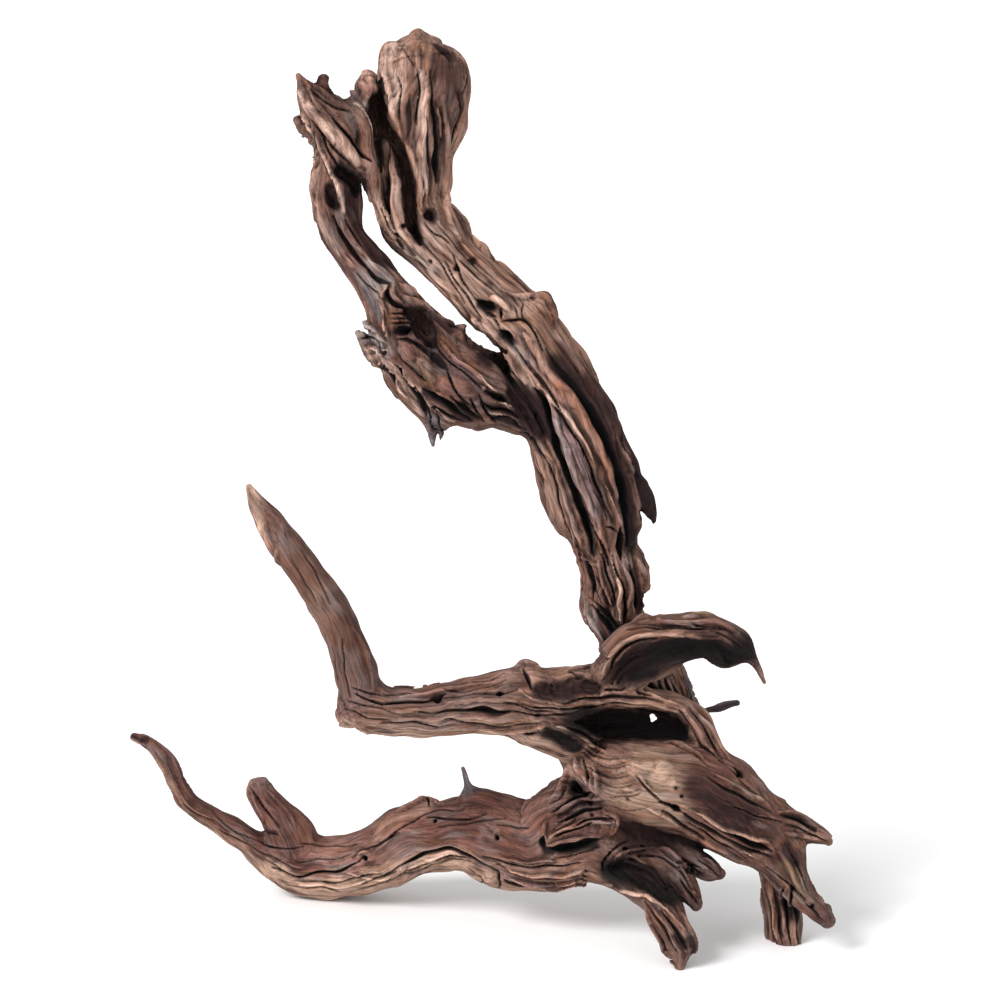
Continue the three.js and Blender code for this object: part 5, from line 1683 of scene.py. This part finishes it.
near_ = spread(verts, quads, 4)
wide_ = spread(near_, quads, 22)
cav1 = ((verts - near_) * N).sum(1)
cav2 = ((verts - wide_) * N).sum(1)
log(f"cavity spread {np.std(cav1):.3f} {np.std(cav2):.3f}")

# a place's own colour, and painted light on the undersides of the low and middle branches
col = np.zeros((len(verts), 3))
for li, t in enumerate(LIMBS):
    col[label == li] = PAL[HUE[t.name]]
col = spread(col, quads, 6)
s_ = gs
li = {t.name: i for i, t in enumerate(LIMBS)}
tr = label == li["trunk"]
col[tr] = mix(col[tr], PAL["brown"], np.clip((gs[tr] - 190) / 90, 0, 0.85))
# painted light: the low and middle branches turn paler, towards belly, where they face down
under = np.clip(-N[:, 2] * 1.6 - 0.1, 0, 1)
lo_ = (label == li["low"]) | (label == li["mid"])
col = np.where(lo_[:, None], mix(col, PAL["belly"], under * 0.8), col)
col = mix(col, PAL["tan"], 0.35 * np.clip(blotch(30, 3) * 1.5, 0, 1))
col = mix(col, PAL["umber"], 0.4 * np.clip(blotch(24, 7) * 1.5, 0, 1))
col = mix(col, PAL["grey"], 0.3 * np.clip(blotch(19, 9) * 1.6, 0, 1))

facing = np.clip(-(N @ VIEW) * 2.0 + 0.6, 0, 1)
ragged = 1 + 0.9 * streak(2.2, 6, 31) + 0.5 * blotch(2.6, 33)     # strokes follow the strands at their edges


calm = np.zeros(len(verts))


def lay(deep_only):
    for colour, strength, t, both in STROKES:
        if deep_only and colour not in ("black", "dark"):
            continue
        m = inside(t)
        if not len(m):
            continue
        f, u, v, z, a_, b_ = t.local(WP[m])
        rr = (u / a_) ** 2 + np.clip(np.abs(v) - 3.0, 0, None) ** 2 / (a_ * a_) + (z / a_) ** 2
        w = np.exp(-rr * rr * 0.7 * np.clip(ragged[m], 0.3, 2.5)) * strength
        if colour != "black":
            w = w * facing[m]
        col[m] = mix(col[m], PAL[colour], w)
        if colour == "boss":
            calm[m] = np.maximum(calm[m], w)


lay(False)
calm = np.where(label == li["horn"], np.maximum(calm, 0.5), calm)
log("painted")

# strands: pale and dark streaks along the grain, then lighter crests and darker valleys, painted shade along grooves,
# and black in hollows and closed-in recesses as painted shade
val = (1 - 0.75 * calm) * (1.0 * streak(4.2, 8, 1) + 0.9 * streak(2.1, 11, 2) + 0.5 * blotch(5.0, 5))
col = mix(col, PAL["umber"] * 0.9, np.clip(val - 0.10, 0, 1) * 1.15)
col = mix(col, np.minimum(col * 1.5, PAL["pale"]), np.clip(-val - 0.15, 0, 1) * 1.2)
col = mix(col, PAL["rust"], 0.6 * np.clip(streak(3.4, 7, 11) * 1.8 - 0.25, 0, 1))
col = mix(col, PAL["grey"], 0.42 * np.clip(streak(2.9, 7, 17) * 1.8 - 0.3, 0, 1))
# lighter on crests and darker in valleys: partly the wood's bleached ridges and dirt in the valleys, partly painted
# highlight and painted shade
crest = np.clip(cav1 / 0.16, -2.5, 2.5) + np.clip(cav2 / 0.9, -2.5, 2.5)
col = mix(col, np.minimum(col * 1.5 + 0.015, 0.7), np.clip(crest * 0.23, 0, 0.75))
col = mix(col, col * 0.27, np.clip(-crest * 0.33, 0, 0.9))
# painted highlight along the traced ridges and painted shade along the traced grooves
gain = np.ones(len(verts))
for kind, t, force, front in LINES:
    m = inside(t)
    if not len(m):
        continue
    f, u, v, z, a_, b_ = t.local(WP[m])
    w = np.exp(-((u / a_) ** 2 + np.clip(np.abs(v) - 4.0, 0, None) ** 2 + (np.abs(z) / 0.8) ** 2)) * (facing[m] if front else 1.0)
    gain[m] *= (1 + 0.30 * force * w) if kind == "r" else (1 - 0.58 * force * w)
col = col * np.clip(gain, 0.16, 1.8)[:, None]
# painted shade round the hollows and pits, as strong as each hollow's shade
hole = np.zeros(len(verts))
for t in CUT:
    m = inside(t)
    if len(m):
        hole[m] = np.maximum(hole[m], np.clip(0.7 - t.dist(WP[m]) * 0.5, 0, 1) * t.opt.get("shade", 0.9))
col = mix(col, PAL["dark"], hole)
# the black and dark strokes once more on top: mostly painted shade in hollows, grooves and shaded recesses
lay(True)
# painted shade: near black where little air lies above the surface, deep in closed-in recesses
col = mix(col, PAL["black"] * 0.8, np.clip((0.55 - open_) * 1.9, 0, 0.95))
col = np.clip(col, 0.006, 0.85)
log("coloured")


def build_piece(i, name):
    vm = piece_of[quads]
    fl = np.where(vm[:, 0] == vm[:, 1], vm[:, 0], np.where(vm[:, 2] == vm[:, 3], vm[:, 2], vm[:, 0]))
    return quads[fl == i]


def make_mesh(name, V, Q, nrm):
    me = bpy.data.meshes.new(name)
    used = np.unique(Q)
    back = np.zeros(len(V), np.int64)
    back[used] = np.arange(len(used))
    q = back[Q]
    v = V[used] / 1000.0
    # close the open rims with a fan to the middle of each rim
    e = np.concatenate([q[:, [0, 1]], q[:, [1, 2]], q[:, [2, 3]], q[:, [3, 0]]])
    key = e[:, 0] * (len(v) + 1) + e[:, 1]
    rkey = e[:, 1] * (len(v) + 1) + e[:, 0]
    rim = e[~np.isin(key, rkey)]
    caps = []
    extra = []
    nxt = {}
    for a, b in rim:
        nxt.setdefault(int(b), []).append(int(a))
    while nxt:
        st = next(iter(nxt))
        loop = [st]
        cur = nxt[st].pop()
        if not nxt[st]:
            del nxt[st]
        while cur != st and cur in nxt:
            loop.append(cur)
            c2 = nxt[cur].pop()
            if not nxt[cur]:
                del nxt[cur]
            cur = c2
        c = len(v) + len(extra)
        mid_ = v[loop].mean(0)
        edge = (v[loop] + v[np.roll(loop, -1)]) / 2
        deep_ = np.max([field((edge + (mid_ - edge) * x) * 1000, 2) for x in (0.2, 0.4, 0.6, 0.8, 1.0)], axis=0)
        if not (deep_ < -0.25).any():
            continue
        extra.append(mid_)
        for j in range(len(loop)):
            if deep_[j] < -0.25:
                caps.append((loop[j], loop[(j + 1) % len(loop)], c))
    if extra:
        v = np.vstack([v, np.array(extra)])
    nq, nc = len(q), len(caps)
    me.vertices.add(len(v))
    me.vertices.foreach_set("co", v.astype(F).ravel())
    loops = np.concatenate([q.ravel(), np.array(caps, np.int64).ravel()]) if nc else q.ravel()
    me.loops.add(len(loops))
    me.loops.foreach_set("vertex_index", loops.astype(np.int32))
    me.polygons.add(nq + nc)
    starts = np.concatenate([np.arange(nq) * 4, nq * 4 + np.arange(nc) * 3]).astype(np.int32)
    me.polygons.foreach_set("loop_start", starts)
    me.update(calc_edges=True)
    me.polygons.foreach_set("use_smooth", np.ones(nq + nc, bool))
    full = np.zeros((len(v), 3))
    full[:len(used)] = nrm[used]
    if len(extra):
        full[len(used):] = [0, 0, 1]
    me.normals_split_custom_set_from_vertices(full.tolist())
    pad = lambda x: np.concatenate([x[used], np.repeat(x[used][:1], len(extra), 0)]) if len(extra) else x[used]
    c4 = np.column_stack([pad(col), np.ones(len(v))])
    at = me.attributes.new("tint", "FLOAT_COLOR", "POINT")
    at.data.foreach_set("color", c4.astype(F).ravel())
    at = me.attributes.new("grain", "FLOAT_VECTOR", "POINT")
    at.data.foreach_set("vector", pad(pos).astype(F).ravel())
    at = me.attributes.new("relief", "FLOAT", "POINT")
    at.data.foreach_set("value", pad(relief).astype(F))
    me.validate()
    return me


# ------------------------------------------------------------------ material
def wood_material(name):
    m = bpy.data.materials.new(name)
    m.use_nodes = True
    nt = m.node_tree
    nt.nodes.clear()
    N_ = nt.nodes.new
    L = nt.links.new
    out = N_("ShaderNodeOutputMaterial")
    b = N_("ShaderNodeBsdfPrincipled")
    L(b.outputs[0], out.inputs[0])
    tint = N_("ShaderNodeAttribute"); tint.attribute_name = "tint"
    grain = N_("ShaderNodeAttribute"); grain.attribute_name = "grain"

    def along(k):
        mp = N_("ShaderNodeVectorMath"); mp.operation = "MULTIPLY"; mp.inputs[1].default_value = (1.0, 1.0, k)
        L(grain.outputs["Vector"], mp.inputs[0])
        return mp.outputs[0]

    def noise(vec, scale, detail, rough):
        n = N_("ShaderNodeTexNoise"); n.inputs["Scale"].default_value = scale
        n.inputs["Detail"].default_value = detail; n.inputs["Roughness"].default_value = rough
        L(vec, n.inputs["Vector"])
        return n.outputs["Fac"]

    def span(x, f0, f1, t0, t1):
        r = N_("ShaderNodeMapRange"); r.inputs["From Min"].default_value = f0; r.inputs["From Max"].default_value = f1
        r.inputs["To Min"].default_value = t0; r.inputs["To Max"].default_value = t1
        L(x, r.inputs["Value"])
        return r.outputs[0]

    def sum_(op, x, y):
        n = N_("ShaderNodeMath"); n.operation = op
        for i, v in enumerate((x, y)):
            if isinstance(v, float):
                n.inputs[i].default_value = v
            else:
                L(v, n.inputs[i])
        return n.outputs[0]

    broad = noise(along(0.07), 0.8, 4, 0.6)          # strands a millimetre or so wide
    fine = noise(along(0.035), 2.3, 3, 0.6)          # single fibres
    line = noise(along(0.045), 0.42, 2, 0.5)         # thin dark checks between strands
    off = N_("ShaderNodeMath"); off.operation = "ABSOLUTE"
    L(sum_("SUBTRACT", line, 0.5), off.inputs[0])
    check = span(off.outputs[0], 0.002, 0.022, 0.52, 1.0)
    shade = sum_("MULTIPLY", sum_("MULTIPLY", span(broad, 0.3, 0.7, 0.66, 1.34), span(fine, 0.3, 0.7, 0.76, 1.24)), check)
    mul = N_("ShaderNodeVectorMath"); mul.operation = "SCALE"
    L(tint.outputs["Color"], mul.inputs[0]); L(shade, mul.inputs["Scale"])
    L(mul.outputs[0], b.inputs["Base Color"])
    height = sum_("ADD", sum_("ADD", broad, sum_("MULTIPLY", fine, 0.6)), sum_("MULTIPLY", check, 0.5))
    bump = N_("ShaderNodeBump"); bump.inputs["Strength"].default_value = 0.7; bump.inputs["Distance"].default_value = 0.0006
    L(height, bump.inputs["Height"]); L(bump.outputs[0], b.inputs["Normal"])
    L(span(broad, 0.0, 1.0, 0.70, 0.92), b.inputs["Roughness"])
    b.inputs["Specular IOR Level"].default_value = 0.12
    return m


mats = {}
total = 0
for i, name in enumerate(piece_names):
    Q = build_piece(i, name)
    if len(Q) == 0:
        log("empty piece " + name)
        continue
    me = make_mesh("wood_" + name, verts, Q, N)
    ob = bpy.data.objects.new("wood_" + name, me)
    bpy.context.scene.collection.objects.link(ob)
    sl = SLOT.get(name, "wood_brown")
    if sl not in mats:
        mats[sl] = wood_material(sl)
    me.materials.append(mats[sl])
    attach(ob, "root")
    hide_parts(name)
    count = len(me.loops) - 2 * len(me.polygons)
    total += count
    log(f"{name} {count}")
log(f"{len(piece_names)} pieces, {total} triangles")

# ------------------------------------------------------------------ stage
sc = bpy.context.scene


def simple_material(name, colour, rough):
    m = bpy.data.materials.new(name)
    m.use_nodes = True
    b = m.node_tree.nodes["Principled BSDF"]
    b.inputs["Base Color"].default_value = (*colour, 1)
    b.inputs["Roughness"].default_value = rough
    return m


fm = bpy.data.meshes.new("floor")
r = 40.0
fm.from_pydata([(-r, -r, 0), (r, -r, 0), (r, r, 0), (-r, r, 0)], [], [(0, 1, 2, 3)])
floor = bpy.data.objects.new("floor", fm)
sc.collection.objects.link(floor)
fm.materials.append(simple_material("floor_white", (0.93, 0.93, 0.93), 0.7))

cam_d = bpy.data.cameras.new("camera")
cam = bpy.data.objects.new("camera", cam_d)
sc.collection.objects.link(cam)
cam_d.lens = 100
cam_d.sensor_width = 36
cam_d.clip_end = 50
M = Matrix(((RIGHT[0], UP[0], -VIEW[0], EYE_S[0] / 1000), (RIGHT[1], UP[1], -VIEW[1], EYE_S[1] / 1000),
            (RIGHT[2], UP[2], -VIEW[2], EYE_S[2] / 1000), (0, 0, 0, 1)))
cam.matrix_world = M
sc.camera = cam

world = bpy.data.worlds.new("world")
sc.world = world
world.use_nodes = True
world.node_tree.nodes["Background"].inputs[0].default_value = (1, 1, 1, 1)
world.node_tree.nodes["Background"].inputs[1].default_value = 0.8


def area(name, loc, target, size, power, colour=(1, 1, 1)):
    ld = bpy.data.lights.new(name, "AREA")
    ld.shape = "SQUARE"
    ld.size = size
    ld.energy = power
    ld.color = colour
    o = bpy.data.objects.new(name, ld)
    sc.collection.objects.link(o)
    v = np.array(target, float) - np.array(loc, float)
    z = -unit(v)
    x = unit(np.cross([0, 0, 1.0], z))
    y = np.cross(z, x)
    o.matrix_world = Matrix(((x[0], y[0], z[0], loc[0]), (x[1], y[1], z[1], loc[1]), (x[2], y[2], z[2], loc[2]), (0, 0, 0, 1)))
    return o


def sun(name, direction, strength, spread):
    ld = bpy.data.lights.new(name, "SUN")
    ld.energy = strength
    ld.angle = math.radians(spread)
    o = bpy.data.objects.new(name, ld)
    sc.collection.objects.link(o)
    z = unit(np.array(direction, float))
    x = unit(np.cross([0, 0, 1.0], z))
    y = np.cross(z, x)
    o.matrix_world = Matrix(((x[0], y[0], z[0], 0), (x[1], y[1], z[1], 0), (x[2], y[2], z[2], 1), (0, 0, 0, 1)))
    return o


sun("key", (-0.78, -0.62, 0.85), 2.9, 24)
sun("fill", (0.55, -1.0, 0.30), 0.25, 50)
sc.view_settings.view_transform = "Standard"

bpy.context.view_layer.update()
log("done")
